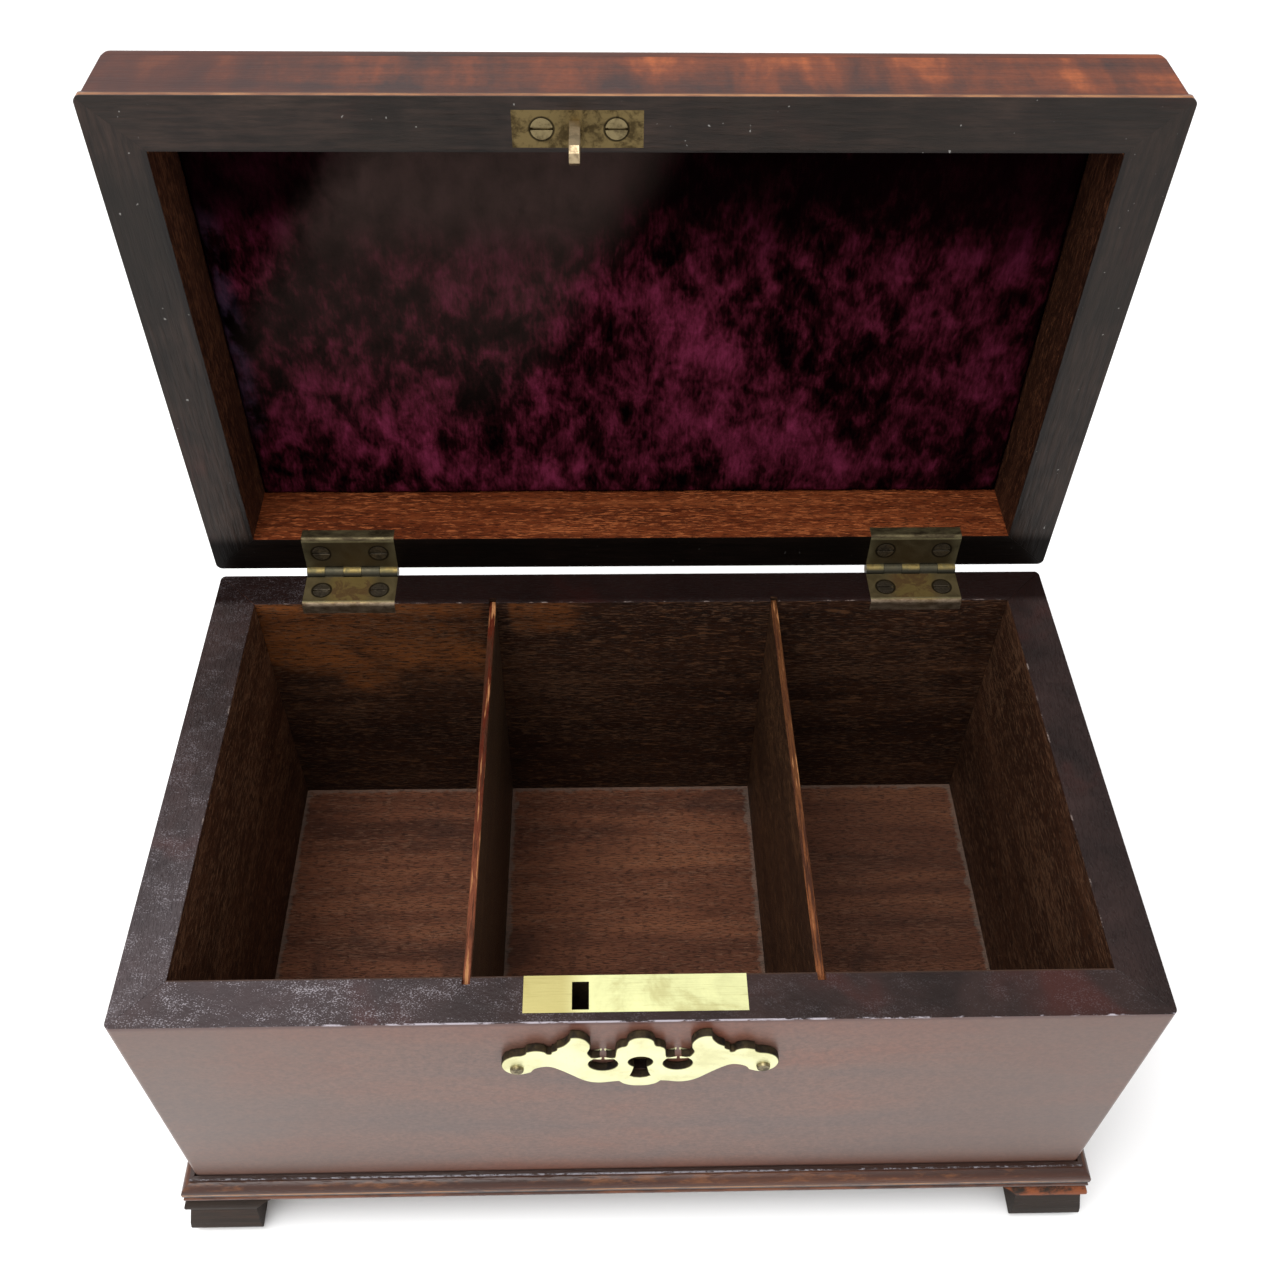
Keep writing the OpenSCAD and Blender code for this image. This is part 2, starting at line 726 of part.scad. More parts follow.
front_wall();
back_wall();
left_wall();
right_wall();
base_board();
divider(-1);  // divider_left
divider(1);  // divider_right
plinth_front();
plinth_side(-1);  // plinth_left
plinth_side(1);  // plinth_right
foot_face(-1);  // foot_front_left_face
foot_front_side(-1);  // foot_front_left_side
foot_face(1);  // foot_front_right_face
foot_front_side(1);  // foot_front_right_side
foot_back_side(-1);  // foot_back_left_side
foot_back_brace(-1);  // foot_back_left_brace
foot_back_side(1);  // foot_back_right_side
foot_back_brace(1);  // foot_back_right_brace
foot_glue_blocks();
escutcheon();
escutcheon_pins();
lock_plate();
lock_cap();
lock_cap_studs();
lock_key_pin();
lock_screws();
lock_bolt();
lock_spring();
case_leaf(-1);  // hinge_left_case_leaf
case_leaf(1);  // hinge_right_case_leaf
hinge_case_screws();
lid_top();
lid_rail_front();
lid_rail_back();
lid_rail_left();
lid_rail_right();
lining_card();
velvet_lining();
lid_leaf(-1);  // hinge_left_lid_leaf
lid_leaf(1);  // hinge_right_lid_leaf
hinge_pin(-1);  // hinge_left_pin
hinge_pin(1);  // hinge_right_pin
hinge_lid_screws();
catch_plate();
catch_hook();
catch_screws();
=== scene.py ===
"""Looks of the mahogany tea caddy: finishes, fine pieces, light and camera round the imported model."""

import json
import math

import bmesh
import bpy
import numpy as np
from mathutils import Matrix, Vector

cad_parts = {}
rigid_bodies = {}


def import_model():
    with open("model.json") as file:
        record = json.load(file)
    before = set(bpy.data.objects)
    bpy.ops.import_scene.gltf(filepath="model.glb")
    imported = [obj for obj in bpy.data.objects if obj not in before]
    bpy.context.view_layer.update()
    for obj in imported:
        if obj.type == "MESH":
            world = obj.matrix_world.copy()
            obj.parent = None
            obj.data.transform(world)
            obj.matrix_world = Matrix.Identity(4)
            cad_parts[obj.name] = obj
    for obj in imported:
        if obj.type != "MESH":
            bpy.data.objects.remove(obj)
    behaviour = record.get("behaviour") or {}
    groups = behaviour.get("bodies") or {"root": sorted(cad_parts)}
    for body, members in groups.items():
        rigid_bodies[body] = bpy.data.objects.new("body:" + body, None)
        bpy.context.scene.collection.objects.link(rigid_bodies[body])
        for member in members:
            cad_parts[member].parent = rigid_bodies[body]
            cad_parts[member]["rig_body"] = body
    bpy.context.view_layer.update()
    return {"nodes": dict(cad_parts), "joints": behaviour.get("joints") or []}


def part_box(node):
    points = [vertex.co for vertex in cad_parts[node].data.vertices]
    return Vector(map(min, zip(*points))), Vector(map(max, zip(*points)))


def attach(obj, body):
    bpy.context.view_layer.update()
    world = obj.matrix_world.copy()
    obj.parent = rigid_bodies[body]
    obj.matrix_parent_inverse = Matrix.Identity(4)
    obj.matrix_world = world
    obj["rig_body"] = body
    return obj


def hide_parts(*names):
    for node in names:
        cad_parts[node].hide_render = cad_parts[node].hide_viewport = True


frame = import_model()
nodes = frame["nodes"]
MM = 0.001

# ---------------------------------------------------------------- places

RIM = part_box("front_wall")[1].z
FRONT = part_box("front_wall")[0].y
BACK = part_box("back_wall")[1].y
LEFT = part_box("left_wall")[0].x
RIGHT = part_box("right_wall")[1].x
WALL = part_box("left_wall")[1].x - LEFT
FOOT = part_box("base_board")[0].z
MID_Y = (FRONT + BACK) / 2
LID_PIN = [j for j in frame["joints"] if j["name"] == "lid_hinge"][0]["pos_m"]
PIN_Y, PIN_Z = LID_PIN[1], LID_PIN[2]
LID_FACE_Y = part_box("lid_rail_front")[0].y
LID_TOP_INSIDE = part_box("lid_top")[0].y
# lower and upper end of the hollow in the open lid
RECESS_LOW = PIN_Z + 13.25 * MM
RECESS_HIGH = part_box("lid_top")[1].z - 13.05 * MM
# heights of the plinth's mouldings above its underside, then its top and how far its top steps out
BEAD, QUIRK, OVOLO_LOW, OVOLO_HIGH = 1.9 * MM, 3.1 * MM, 4.5 * MM, 7.0 * MM
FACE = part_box("plinth_front")[1].z
FILLET = 1.3 * MM
# hinges: middle, leaf length in five knuckles, leaf width from the pin, and the screws from
# the hinge's middle and from its pin
HINGE_X = (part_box("hinge_right_pin")[0].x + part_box("hinge_right_pin")[1].x) / 2
LEAF_L = 27.5 * MM
KNUCKLE_L = LEAF_L / 5
LEAF_W = 12.35 * MM
SCREW_X = 8.6 * MM
SCREW_R = 2.75 * MM
SCREW_AWAY = PIN_Y - (BACK - 6.2 * MM)
# corners sharper than this, in degrees, are eased or left crisp
CORNER = 38


# ---------------------------------------------------------------- finishes


class Finish:
    """A material drawn step by step. Each method adds one node and returns its output."""

    def __init__(self, name, rough=0.4, **shader):
        """One plain shader; x, y, z tell the place on the object and nx, ny, nz its facing."""
        self.material = bpy.data.materials.new(name)
        self.material.use_nodes = True
        self.tree = self.material.node_tree
        self.shader = self.tree.nodes["Principled BSDF"]
        self.shader.inputs["Roughness"].default_value = rough
        for key, value in shader.items():
            self.shader.inputs[key.replace("_", " ")].default_value = value
        coords = self.tree.nodes.new("ShaderNodeTexCoord")
        self.place = coords.outputs["Object"]
        self.normal = coords.outputs["Normal"]
        self.x, self.y, self.z = self.split(self.place)
        self.nx, self.ny, self.nz = self.split(self.normal)

    def put(self, socket, value):
        """Feed a socket from a node's output, or set it to a number or a colour."""
        if isinstance(value, bpy.types.NodeSocket):
            self.tree.links.new(value, socket)
        elif isinstance(value, tuple) and len(value) == 3 and socket.type == "RGBA":
            socket.default_value = (*value, 1)
        else:
            socket.default_value = value

    def split(self, vector):
        """The three components of a vector."""
        node = self.tree.nodes.new("ShaderNodeSeparateXYZ")
        self.put(node.inputs[0], vector)
        return node.outputs

    def math(self, op, a, b=0.0, clamp=False):
        """One arithmetic step on a and b, held within 0..1 with clamp."""
        node = self.tree.nodes.new("ShaderNodeMath")
        node.operation, node.use_clamp = op, clamp
        for socket, value in zip(node.inputs, (a, b)):
            self.put(socket, value)
        return node.outputs[0]

    def add(self, a, b, clamp=False):
        """a + b, held within 0..1 with clamp."""
        return self.math("ADD", a, b, clamp=clamp)

    def mul(self, a, b):
        """a times b."""
        return self.math("MULTIPLY", a, b)

    def inv(self, a):
        """1 - a, held within 0..1."""
        return self.math("SUBTRACT", 1.0, a, clamp=True)

    def step(self, value, low, high):
        """0 where value is at low and 1 where it is at high; low may be the larger."""
        node = self.tree.nodes.new("ShaderNodeMapRange")
        node.interpolation_type = "SMOOTHSTEP"
        flip = low > high
        self.put(node.inputs["Value"], value)
        node.inputs["From Min"].default_value = min(low, high)
        node.inputs["From Max"].default_value = max(low, high)
        node.inputs["To Min"].default_value = 1.0 if flip else 0.0
        node.inputs["To Max"].default_value = 0.0 if flip else 1.0
        return node.outputs["Result"]

    def band(self, value, centre, half, soft):
        """1 within half of centre, falling to 0 over soft."""
        away = self.math("ABSOLUTE", self.math("SUBTRACT", value, centre))
        return self.step(away, half + soft, half)

    def turned(self, angle):
        """The object's place turned about Y, for strokes that lean."""
        node = self.tree.nodes.new("ShaderNodeVectorRotate")
        node.rotation_type = "Y_AXIS"
        self.put(node.inputs["Vector"], self.place)
        node.inputs["Angle"].default_value = angle
        return node.outputs[0]

    def noise(self, per_m, detail=3.0, rough=0.55, twist=0.0, shift=(0, 0, 0), place=None):
        """Noise in 0..1. per_m gives features per metre along X, Y and Z."""
        spread = self.tree.nodes.new("ShaderNodeMapping")
        self.put(spread.inputs["Vector"], place or self.place)
        per_m = (per_m,) * 3 if isinstance(per_m, (int, float)) else per_m
        spread.inputs["Scale"].default_value = per_m
        spread.inputs["Location"].default_value = shift
        node = self.tree.nodes.new("ShaderNodeTexNoise")
        self.put(node.inputs["Vector"], spread.outputs[0])
        node.inputs["Scale"].default_value = 1.0
        node.inputs["Detail"].default_value = detail
        node.inputs["Roughness"].default_value = rough
        node.inputs["Distortion"].default_value = twist
        return node.outputs["Fac"]

    def ramp(self, value, *stops):
        """A colour that runs through the stops; each stop is a value and the tone there."""
        node = self.tree.nodes.new("ShaderNodeValToRGB")
        self.put(node.inputs[0], value)
        ramp = node.color_ramp
        while len(ramp.elements) < len(stops):
            ramp.elements.new(0.5)
        for element, (at, colour) in zip(ramp.elements, stops):
            element.position = at
            element.color = (*colour, 1)
        return node.outputs[0]

    def mix(self, amount, a, b, how="MIX"):
        """a where amount is 0 and b where it is 1; how names another way to lay b over a."""
        node = self.tree.nodes.new("ShaderNodeMix")
        node.data_type, node.blend_type = "RGBA", how
        self.put(node.inputs[0], amount)
        self.put(node.inputs[6], a)
        self.put(node.inputs[7], b)
        return node.outputs[2]

    def colour(self, value):
        """The base colour of the shader."""
        self.put(self.shader.inputs["Base Color"], value)

    def gloss(self, value):
        """The roughness of the shader, where 0 is a mirror."""
        self.put(self.shader.inputs["Roughness"], value)

    def shine(self, value):
        """How strongly the surface mirrors its surroundings; 0.5 is fresh varnish."""
        self.put(self.shader.inputs["Specular IOR Level"], value)

    def off(self, a, b):
        """Distance from a to b, without sign."""
        return self.math("ABSOLUTE", self.math("SUBTRACT", a, b))

    def apart(self, a, b):
        """Length of the vector with the two given components."""
        return self.math("SQRT", self.add(self.mul(a, a), self.mul(b, b)))

    def bump(self, height, depth_mm):
        """Shade the surface as if it stood out by height times depth_mm."""
        node = self.tree.nodes.new("ShaderNodeBump")
        node.inputs["Strength"].default_value = 1.0
        node.inputs["Distance"].default_value = depth_mm * MM
        self.put(node.inputs["Height"], height)
        self.put(self.shader.inputs["Normal"], node.outputs[0])


def grey(value):
    """The same number for all three channels."""
    return (value,) * 3


def lifted(lift, *tones):
    """Each tone with its channels multiplied by lift's."""
    return [tuple(c * k for c, k in zip(tone, lift)) for tone in tones]


def along(axis, run, across):
    """Noise scale that runs long along one axis and fine across it."""
    return tuple(run if name == axis else across for name in "xyz")


def grain(f, axis, shift, run=9, across=330):
    """Mahogany with its grain along one axis: 0.72 streak + 0.28 broad figure, and its open pores."""
    streak = f.noise(along(axis, run, across), 4, 0.62, 0.35, shift)
    figure = f.noise(along(axis, 7, 34), 2, 0.5, 0.8, tuple(s + 5 for s in shift))
    pore = f.noise(along(axis, 210, 2600), 1.5, 0.5, 0, tuple(s + 9 for s in shift))
    body = f.add(f.mul(streak, 0.72), f.mul(figure, 0.28))
    return body, f.step(pore, 0.60, 0.72)


def open_grain(f, axis, shift, light, dark, base, amount=0.6):
    """Short light flecks and dark open pores laid over base, and the relief fleck - pore."""
    fleck = f.noise(along(axis, 300, 2100), 2.5, 0.62, 0.25, tuple(s + 3 for s in shift))
    thick = f.noise(along(axis, 18, 60), 2, 0.5, 0.5, tuple(s + 6 for s in shift))
    fleck = f.step(f.add(f.mul(fleck, 0.8), f.mul(thick, 0.2)), 0.515, 0.60)
    pore = f.step(f.noise(along(axis, 380, 3000), 2, 0.6, 0.1, tuple(s + 11 for s in shift)), 0.54, 0.62)
    base = f.mix(f.mul(fleck, amount), base, light)
    return f.mix(f.mul(pore, 0.75), base, dark), f.math("SUBTRACT", fleck, pore)


def rim_polish(f, base, amount, tone=(0.0155, 0.0078, 0.0068)):
    """Near-black old polish laid over the rims, with a few rubbed brown places."""
    cloud = f.noise(60, 3, 0.6, 0.4, (3, 1, 2))
    dark = f.ramp(cloud, (0.3, tuple(t * 0.7 for t in tone)), (0.75, tuple(t * 1.7 for t in tone)))
    rubbed = f.step(f.noise((25, 25, 25), 3, 0.6, 0.6, (9, 1, 4)), 0.56, 0.74)
    dark = f.mix(f.mul(rubbed, 0.7), dark, (0.042, 0.0095, 0.0070))
    return f.mix(amount, base, dark)


def glints(f, base, amount, colour=(0.26, 0.235, 0.255)):
    """Dense fine light specks on the pitted old polish: painted glints of light, with some dust."""
    fine = f.noise((2500, 3600, 2500), 2, 0.6, 0, (2, 5, 1))
    broad = f.noise((120, 200, 120), 4, 0.75, 0.4, (6, 2, 3))
    spot = f.step(f.add(f.mul(fine, 0.62), f.mul(broad, 0.38)), 0.545, 0.62)
    return f.mix(f.mul(f.mul(spot, amount), 0.8), base, colour)


def outer_front():
    """Front wall: hazed brown polish, darker toward its ends, over it a dark pitted rim with painted glare
    and glints at the left, a painted shadow along the plinth, and an arris chipped bare. Its inner face is
    dark wood."""
    f = Finish("mahogany_front_polish", rough=0.34)
    body, _ = grain(f, "x", (0.3, 2, 5), run=7, across=90)
    cloud = f.noise((14, 20, 26), 3, 0.6, 0.5, (7, 3, 2))
    body = f.add(f.mul(body, 0.45), f.mul(cloud, 0.55))
    base = f.ramp(
        body, (0.36, (0.096, 0.058, 0.048)), (0.5, (0.128, 0.064, 0.046)), (0.62, (0.148, 0.055, 0.033))
    )
    fine = f.noise(along("x", 900, 1300), 2, 0.7, 0, (1, 1, 1))
    base = f.mix(0.6, base, f.ramp(fine, (0.3, (0.24, 0.27, 0.29)), (0.7, (0.74, 0.71, 0.69))), "OVERLAY")
    low = f.step(f.z, FACE + 11 * MM, FACE)
    base = f.mix(f.mul(low, 0.5), base, (0.105, 0.028, 0.013))
    high = f.step(f.z, RIM - 16 * MM, RIM)
    base = f.mix(f.mul(high, 0.35), base, (0.135, 0.043, 0.026))
    base = f.mix(f.mul(f.step(f.x, 30 * MM, 115 * MM), 0.5), base, (0.070, 0.037, 0.026))
    base = f.mix(f.mul(f.step(f.x, -40 * MM, -115 * MM), 0.4), base, (0.092, 0.064, 0.052))
    # painted shadow along the joint with the plinth, over the lowest millimetre or so of the face
    soil = f.step(f.add(f.z, f.mul(cloud, 0.6 * MM)), FACE + 1.9 * MM, FACE + 0.7 * MM)
    base = f.mix(f.mul(soil, 0.9), base, (0.018, 0.008, 0.006))
    rim = f.step(f.nz, 0.3, 0.6)
    inner = f.step(f.y, FRONT + WALL - 0.6 * MM, FRONT + WALL - 0.1 * MM)
    base = rim_polish(f, base, rim)
    # painted glare: a pale reflection of the lamp laid over the left of the rim
    painted_glare = f.mul(f.mul(f.step(f.x, -10 * MM, -105 * MM), rim), f.add(0.35, f.noise((30, 60, 30), 3, 0.6)))
    base = f.mix(f.mul(painted_glare, 0.27), base, (0.12, 0.095, 0.105))
    # painted glints of light, thickest toward the left
    base = glints(f, base, f.mul(rim, f.add(0.12, f.step(f.x, 10 * MM, -105 * MM), True)))
    away = f.apart(f.math("SUBTRACT", f.y, FRONT), f.math("SUBTRACT", f.z, RIM))
    stain = f.step(f.add(away, f.mul(cloud, 1.2 * MM)), 2.6 * MM, 1.0 * MM)
    base = f.mix(f.mul(f.mul(stain, f.inv(rim)), 0.85), base, (0.055, 0.012, 0.008))
    chips = f.noise(along("x", 150, 420), 4, 0.75)
    middle = f.step(f.off(f.x, -8 * MM), 85 * MM, 25 * MM)
    worn = f.mul(f.step(away, 0.42 * MM, 0.22 * MM), f.step(f.add(chips, f.mul(middle, 0.14)), 0.55, 0.66))
    base = f.mix(f.mul(worn, 0.8), base, (0.42, 0.38, 0.42))
    wood_in = f.ramp(body, (0.35, (0.02, 0.009, 0.005)), (0.7, (0.06, 0.028, 0.016)))
    base = f.mix(inner, base, wood_in)
    f.colour(base)
    f.gloss(0.36)
    f.shine(f.mix(f.add(rim, inner, True), grey(0.36), grey(0.2)))
    rough_skin = f.noise((260, 420, 300), 5, 0.7)
    f.bump(f.add(f.mul(f.mul(rough_skin, rim), 1.6), f.mul(fine, 0.10)), 0.12)
    return f.material


def case_inside(name, axis, shift, patches=False, lift=1.0):
    """Side and back walls: dark open grain inside, faded polish outside, dark rims; painted shade on the back
    rim, painted glare and glints on the front left rims.
    """
    f = Finish(name, rough=0.5)
    body, _ = grain(f, axis, shift, run=8, across=150)
    dark, mid, pale, light = lifted(
        grey(lift), (0.011, 0.0038, 0.0018), (0.024, 0.0088, 0.0042), (0.060, 0.025, 0.012),
        (0.105, 0.052, 0.027),
    )
    base = f.ramp(body, (0.32, dark), (0.52, mid), (0.74, pale))
    if patches:
        edge = f.noise((38, 60, 45), 4, 0.62, 0.7, (8, 1, 3))
        left_well = f.mul(f.step(f.x, -36 * MM, -50 * MM), f.step(f.z, RIM - 58 * MM, RIM - 22 * MM))
        middle_well = f.mul(f.step(f.x, -40 * MM, -36 * MM), f.step(f.x, -6 * MM, -22 * MM))
        middle_well = f.mul(middle_well, f.step(f.z, RIM - 24 * MM, RIM - 8 * MM))
        wells = f.add(left_well, middle_well, True)
        faded = f.step(f.add(f.mul(wells, 0.5), f.mul(edge, 0.8)), 0.64, 0.92)
        warm = f.ramp(body, (0.34, (0.042, 0.013, 0.004)), (0.66, (0.21, 0.066, 0.017)))
        base = f.mix(f.mul(faded, 0.85), base, warm)
        dash = f.step(f.noise(along("x", 150, 760), 2, 0.55, 0.3, (5, 5, 5)), 0.60, 0.67)
        base = f.mix(f.mul(dash, 0.55), base, (0.115, 0.050, 0.022))
    base, relief = open_grain(f, axis, shift, light, (0.004, 0.0018, 0.001), base)
    rim = f.step(f.nz, 0.3, 0.6)
    at_side = f.step(f.off(f.x, 0.0), RIGHT - 0.6 * MM, RIGHT - 0.2 * MM)
    outside = f.math("MAXIMUM", at_side, f.step(f.y, BACK - 0.6 * MM, BACK - 0.2 * MM))
    figure = f.noise(along(axis, 9, 90), 4, 0.6, 0.4, shift)
    polish = f.ramp(
        figure, (0.3, (0.075, 0.022, 0.011)), (0.5, (0.13, 0.044, 0.024)), (0.72, (0.19, 0.075, 0.042))
    )
    base = f.mix(f.mul(outside, f.inv(rim)), base, polish)
    base = rim_polish(f, base, rim)
    # painted shade and dark reflection on the back rim, which stands under the open lid
    behind = f.mul(rim, f.step(f.y, BACK - WALL - 1 * MM, BACK - WALL + 2 * MM))
    base = f.mix(f.mul(behind, 0.75), base, (0.0065, 0.0028, 0.0024))
    # painted glare and glints: a pale reflection of the lamp on the rims toward the front left
    near = f.step(f.y, MID_Y + 35 * MM, FRONT + 5 * MM)
    leftward = f.step(f.x, -60 * MM, -110 * MM)
    painted_glare = f.mul(f.mul(rim, f.mul(near, leftward)), f.add(0.4, f.noise((70, 30, 60), 3, 0.6)))
    base = f.mix(f.mul(painted_glare, 0.30), base, (0.15, 0.128, 0.138))
    base = glints(f, base, f.mul(rim, f.mul(leftward, f.add(0.25, f.mul(near, 0.5)))))
    if axis == "x":
        from_middle, opening = f.off(f.y, MID_Y), BACK - MID_Y - WALL
    else:
        from_middle, opening = f.off(f.x, 0.0), RIGHT - WALL
    inner_edge = f.mul(rim, f.step(from_middle, opening + 0.55 * MM, opening + 0.2 * MM))
    nibble = f.step(f.noise((160, 160, 160), 4, 0.75, 0, (4, 4, 1)), 0.54, 0.64)
    base = f.mix(f.mul(f.mul(inner_edge, nibble), 0.7), base, (0.22, 0.17, 0.15))
    f.colour(base)
    f.gloss(f.mix(rim, grey(0.55), grey(0.34)))
    shine = f.mix(rim, f.mix(outside, grey(0.12), grey(0.35)), grey(0.2))
    f.shine(f.mix(behind, shine, grey(0.03)))
    f.bump(f.add(f.mul(relief, 0.8), f.mul(body, 0.5)), 0.10)
    return f.material


def well_floor():
    """Floor of the wells: stained red-brown wood with dust along every wall. The dust
    reaches out by 8.5 mm times the cube of a noise."""
    f = Finish("mahogany_floor_dusty", rough=0.6)
    body, _ = grain(f, "x", (1, 4, 2), run=12, across=130)
    base = f.ramp(
        body, (0.35, (0.056, 0.017, 0.0075)), (0.5, (0.120, 0.040, 0.0185)), (0.68, (0.205, 0.076, 0.034))
    )
    base, relief = open_grain(f, "x", (1, 4, 2), (0.20, 0.098, 0.058), (0.026, 0.010, 0.006), base, 0.4)
    stain = f.step(f.noise((30, 38, 20), 5, 0.65, 0.7, (4, 4, 0)), 0.52, 0.70)
    base = f.mix(f.mul(stain, 0.6), base, (0.034, 0.013, 0.008))
    side = f.step(f.x, 20 * MM, 80 * MM)
    base = f.mix(f.mul(side, 0.4), base, (0.030, 0.013, 0.008))
    dust = (0.15, 0.122, 0.098)
    fluff = f.noise(240, 4, 0.7)
    reach = f.mul(f.math("POWER", fluff, 3), 8.5 * MM)
    edge = 0.0
    divider_faces = [end.x for node in ("divider_left", "divider_right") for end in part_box(node)]
    walls = [(f.y, BACK - WALL), (f.y, FRONT + WALL)]
    walls += [(f.x, place) for place in (LEFT + WALL, RIGHT - WALL, *divider_faces)]
    for value, wall in walls:
        near = f.step(f.math("SUBTRACT", f.off(value, wall), reach), 0.7 * MM, -0.5 * MM)
        edge = f.math("MAXIMUM", edge, near)
    base = f.mix(f.mul(edge, 0.42), base, dust)
    f.colour(base)
    f.shine(0.2)
    f.bump(f.add(relief, f.mul(body, 0.4)), 0.08)
    return f.material


def divider_wood(name, side):
    """Divider: dark sides and a bright worn top edge. side is -1 for the left one, which
    is paler, and 1 for the right one."""
    f = Finish(name, rough=0.5)
    body, _ = grain(f, "y", (2 + side, 3, 1), run=12, across=160)
    lift = (2.1, 2.8, 3.2) if side < 0 else (1, 1, 1)
    dark, mid, pale = lifted(lift, (0.014, 0.0065, 0.0035), (0.030, 0.0125, 0.006), (0.070, 0.029, 0.012))
    base = f.ramp(body, (0.3, dark), (0.55, mid), (0.75, pale))
    base, relief = open_grain(f, "y", (2 + side, 3, 1), (0.12, 0.055, 0.024), (0.005, 0.002, 0.001), base)
    top = f.step(f.nz, 0.3, 0.7)
    fore = f.step(f.y, MID_Y + 10 * MM, MID_Y - 50 * MM)
    if side < 0:
        bright = f.mix(fore, (0.070, 0.011, 0.004), (0.150, 0.044, 0.020))
    else:
        bright = f.mix(fore, (0.085, 0.030, 0.010), (0.165, 0.054, 0.018))
    mottle = f.noise(along("y", 48, 900), 3, 0.6)
    bright = f.mix(f.step(mottle, 0.46, 0.60), bright, (0.045, 0.015, 0.007))
    bright = f.mix(f.step(mottle, 0.42, 0.34), bright, (0.34, 0.150, 0.060))
    base = f.mix(top, base, bright)
    f.colour(base)
    f.shine(0.12)
    f.bump(f.mul(relief, 1.0), 0.08)
    return f.material


def plinth_wood(axis):
    """Worn mouldings, with painted shade in the quirk and a painted highlight along the top fillet's arris.
    Heights count from the underside of the plinth.
    """
    f = Finish("mahogany_plinth_worn_" + axis, rough=0.34)
    body, pore = grain(f, axis, (6, 2, 1), run=10, across=300)
    base = f.ramp(
        body, (0.30, (0.020, 0.0075, 0.0045)), (0.52, (0.050, 0.0165, 0.0085)), (0.72, (0.115, 0.038, 0.0145))
    )
    height = f.math("SUBTRACT", f.z, FOOT)
    chew = f.noise(along(axis, 130, 520), 4, 0.7, 0.2, (2, 2, 2))
    patch = f.noise(along(axis, 20, 40), 3, 0.5, 0, (5, 2, 2))
    mixed = f.add(f.mul(chew, 0.55), f.mul(patch, 0.45))
    upper = f.band(height, OVOLO_HIGH, 0.5 * MM, 0.5 * MM)
    base = f.mix(f.mul(f.mul(upper, f.step(mixed, 0.50, 0.62)), 0.65), base, (0.17, 0.062, 0.020))
    arris = f.mul(f.band(height, OVOLO_LOW, 0.18 * MM, 0.4 * MM), f.step(mixed, 0.40, 0.56))
    base = f.mix(f.mul(arris, 0.85), base, (0.34, 0.14, 0.030))
    # painted shade: the quirk under the ovolo is painted near-black
    quirk = f.band(height, QUIRK, 0.7 * MM, 0.4 * MM)
    base = f.mix(f.mul(quirk, 0.9), base, (0.012, 0.005, 0.003))
    bead = f.mul(f.band(height, BEAD, 0.35 * MM, 0.45 * MM), f.step(mixed, 0.42, 0.56))
    base = f.mix(f.mul(bead, 0.55), base, (0.20, 0.062, 0.020))
    fillet = f.step(height, 8.3 * MM, 8.8 * MM)
    base = f.mix(f.mul(fillet, 0.85), base, (0.022, 0.010, 0.007))
    speck = f.noise(along(axis, 700, 1500), 4, 0.75, 0, (1, 7, 3))
    middle = f.step(f.off(f.x, -20 * MM), 90 * MM, 30 * MM)
    from_arris = f.apart(f.math("SUBTRACT", f.y, FRONT - FILLET), f.math("SUBTRACT", f.z, FACE))
    # painted highlight: a thin pale line of reflected light along the top fillet's arris; rubbed only sets
    # where it shows
    rubbed = f.add(speck, f.add(f.mul(patch, 0.25), f.mul(middle, 0.10)))
    glint = f.mul(f.step(from_arris, 0.50 * MM, 0.25 * MM), f.step(rubbed, 0.64, 0.76))
    base = f.mix(f.mul(glint, 0.65), base, (0.36, 0.36, 0.40))
    f.colour(base)
    f.shine(0.35)
    f.bump(f.add(f.mul(pore, -0.6), chew), 0.12)
    return f.material


def foot_wood():
    """Bracket feet: rubbed orange swelling above, painted lighter where it bulges up to the light, dark
    greenish-brown leg, pale rubbed toe.
    """
    f = Finish("mahogany_foot", rough=0.6)
    body, pore = grain(f, "x", (3, 8, 1), run=30, across=320)
    base = f.ramp(
        body, (0.30, (0.0125, 0.0085, 0.006)), (0.55, (0.024, 0.0150, 0.0105)), (0.78, (0.052, 0.025, 0.0145))
    )
    chew = f.noise((120, 120, 160), 4, 0.7)
    # the swelling is rubbed, and also painted lighter where it bulges up to the light
    swell = f.mul(f.band(f.z, FOOT - 3.6 * MM, 2.4 * MM, 1.2 * MM), f.step(f.x, -100 * MM, 40 * MM))
    base = f.mix(f.mul(f.mul(swell, f.step(chew, 0.38, 0.56)), 0.75), base, (0.25, 0.068, 0.022))
    toe = f.mul(f.step(f.z, 2.2 * MM, 0.8 * MM), f.step(chew, 0.46, 0.6))
    base = f.mix(f.mul(toe, 0.5), base, (0.17, 0.13, 0.075))
    f.colour(base)
    f.shine(0.14)
    f.bump(f.add(f.mul(pore, -1.0), f.mul(chew, 0.6)), 0.1)
    return f.material


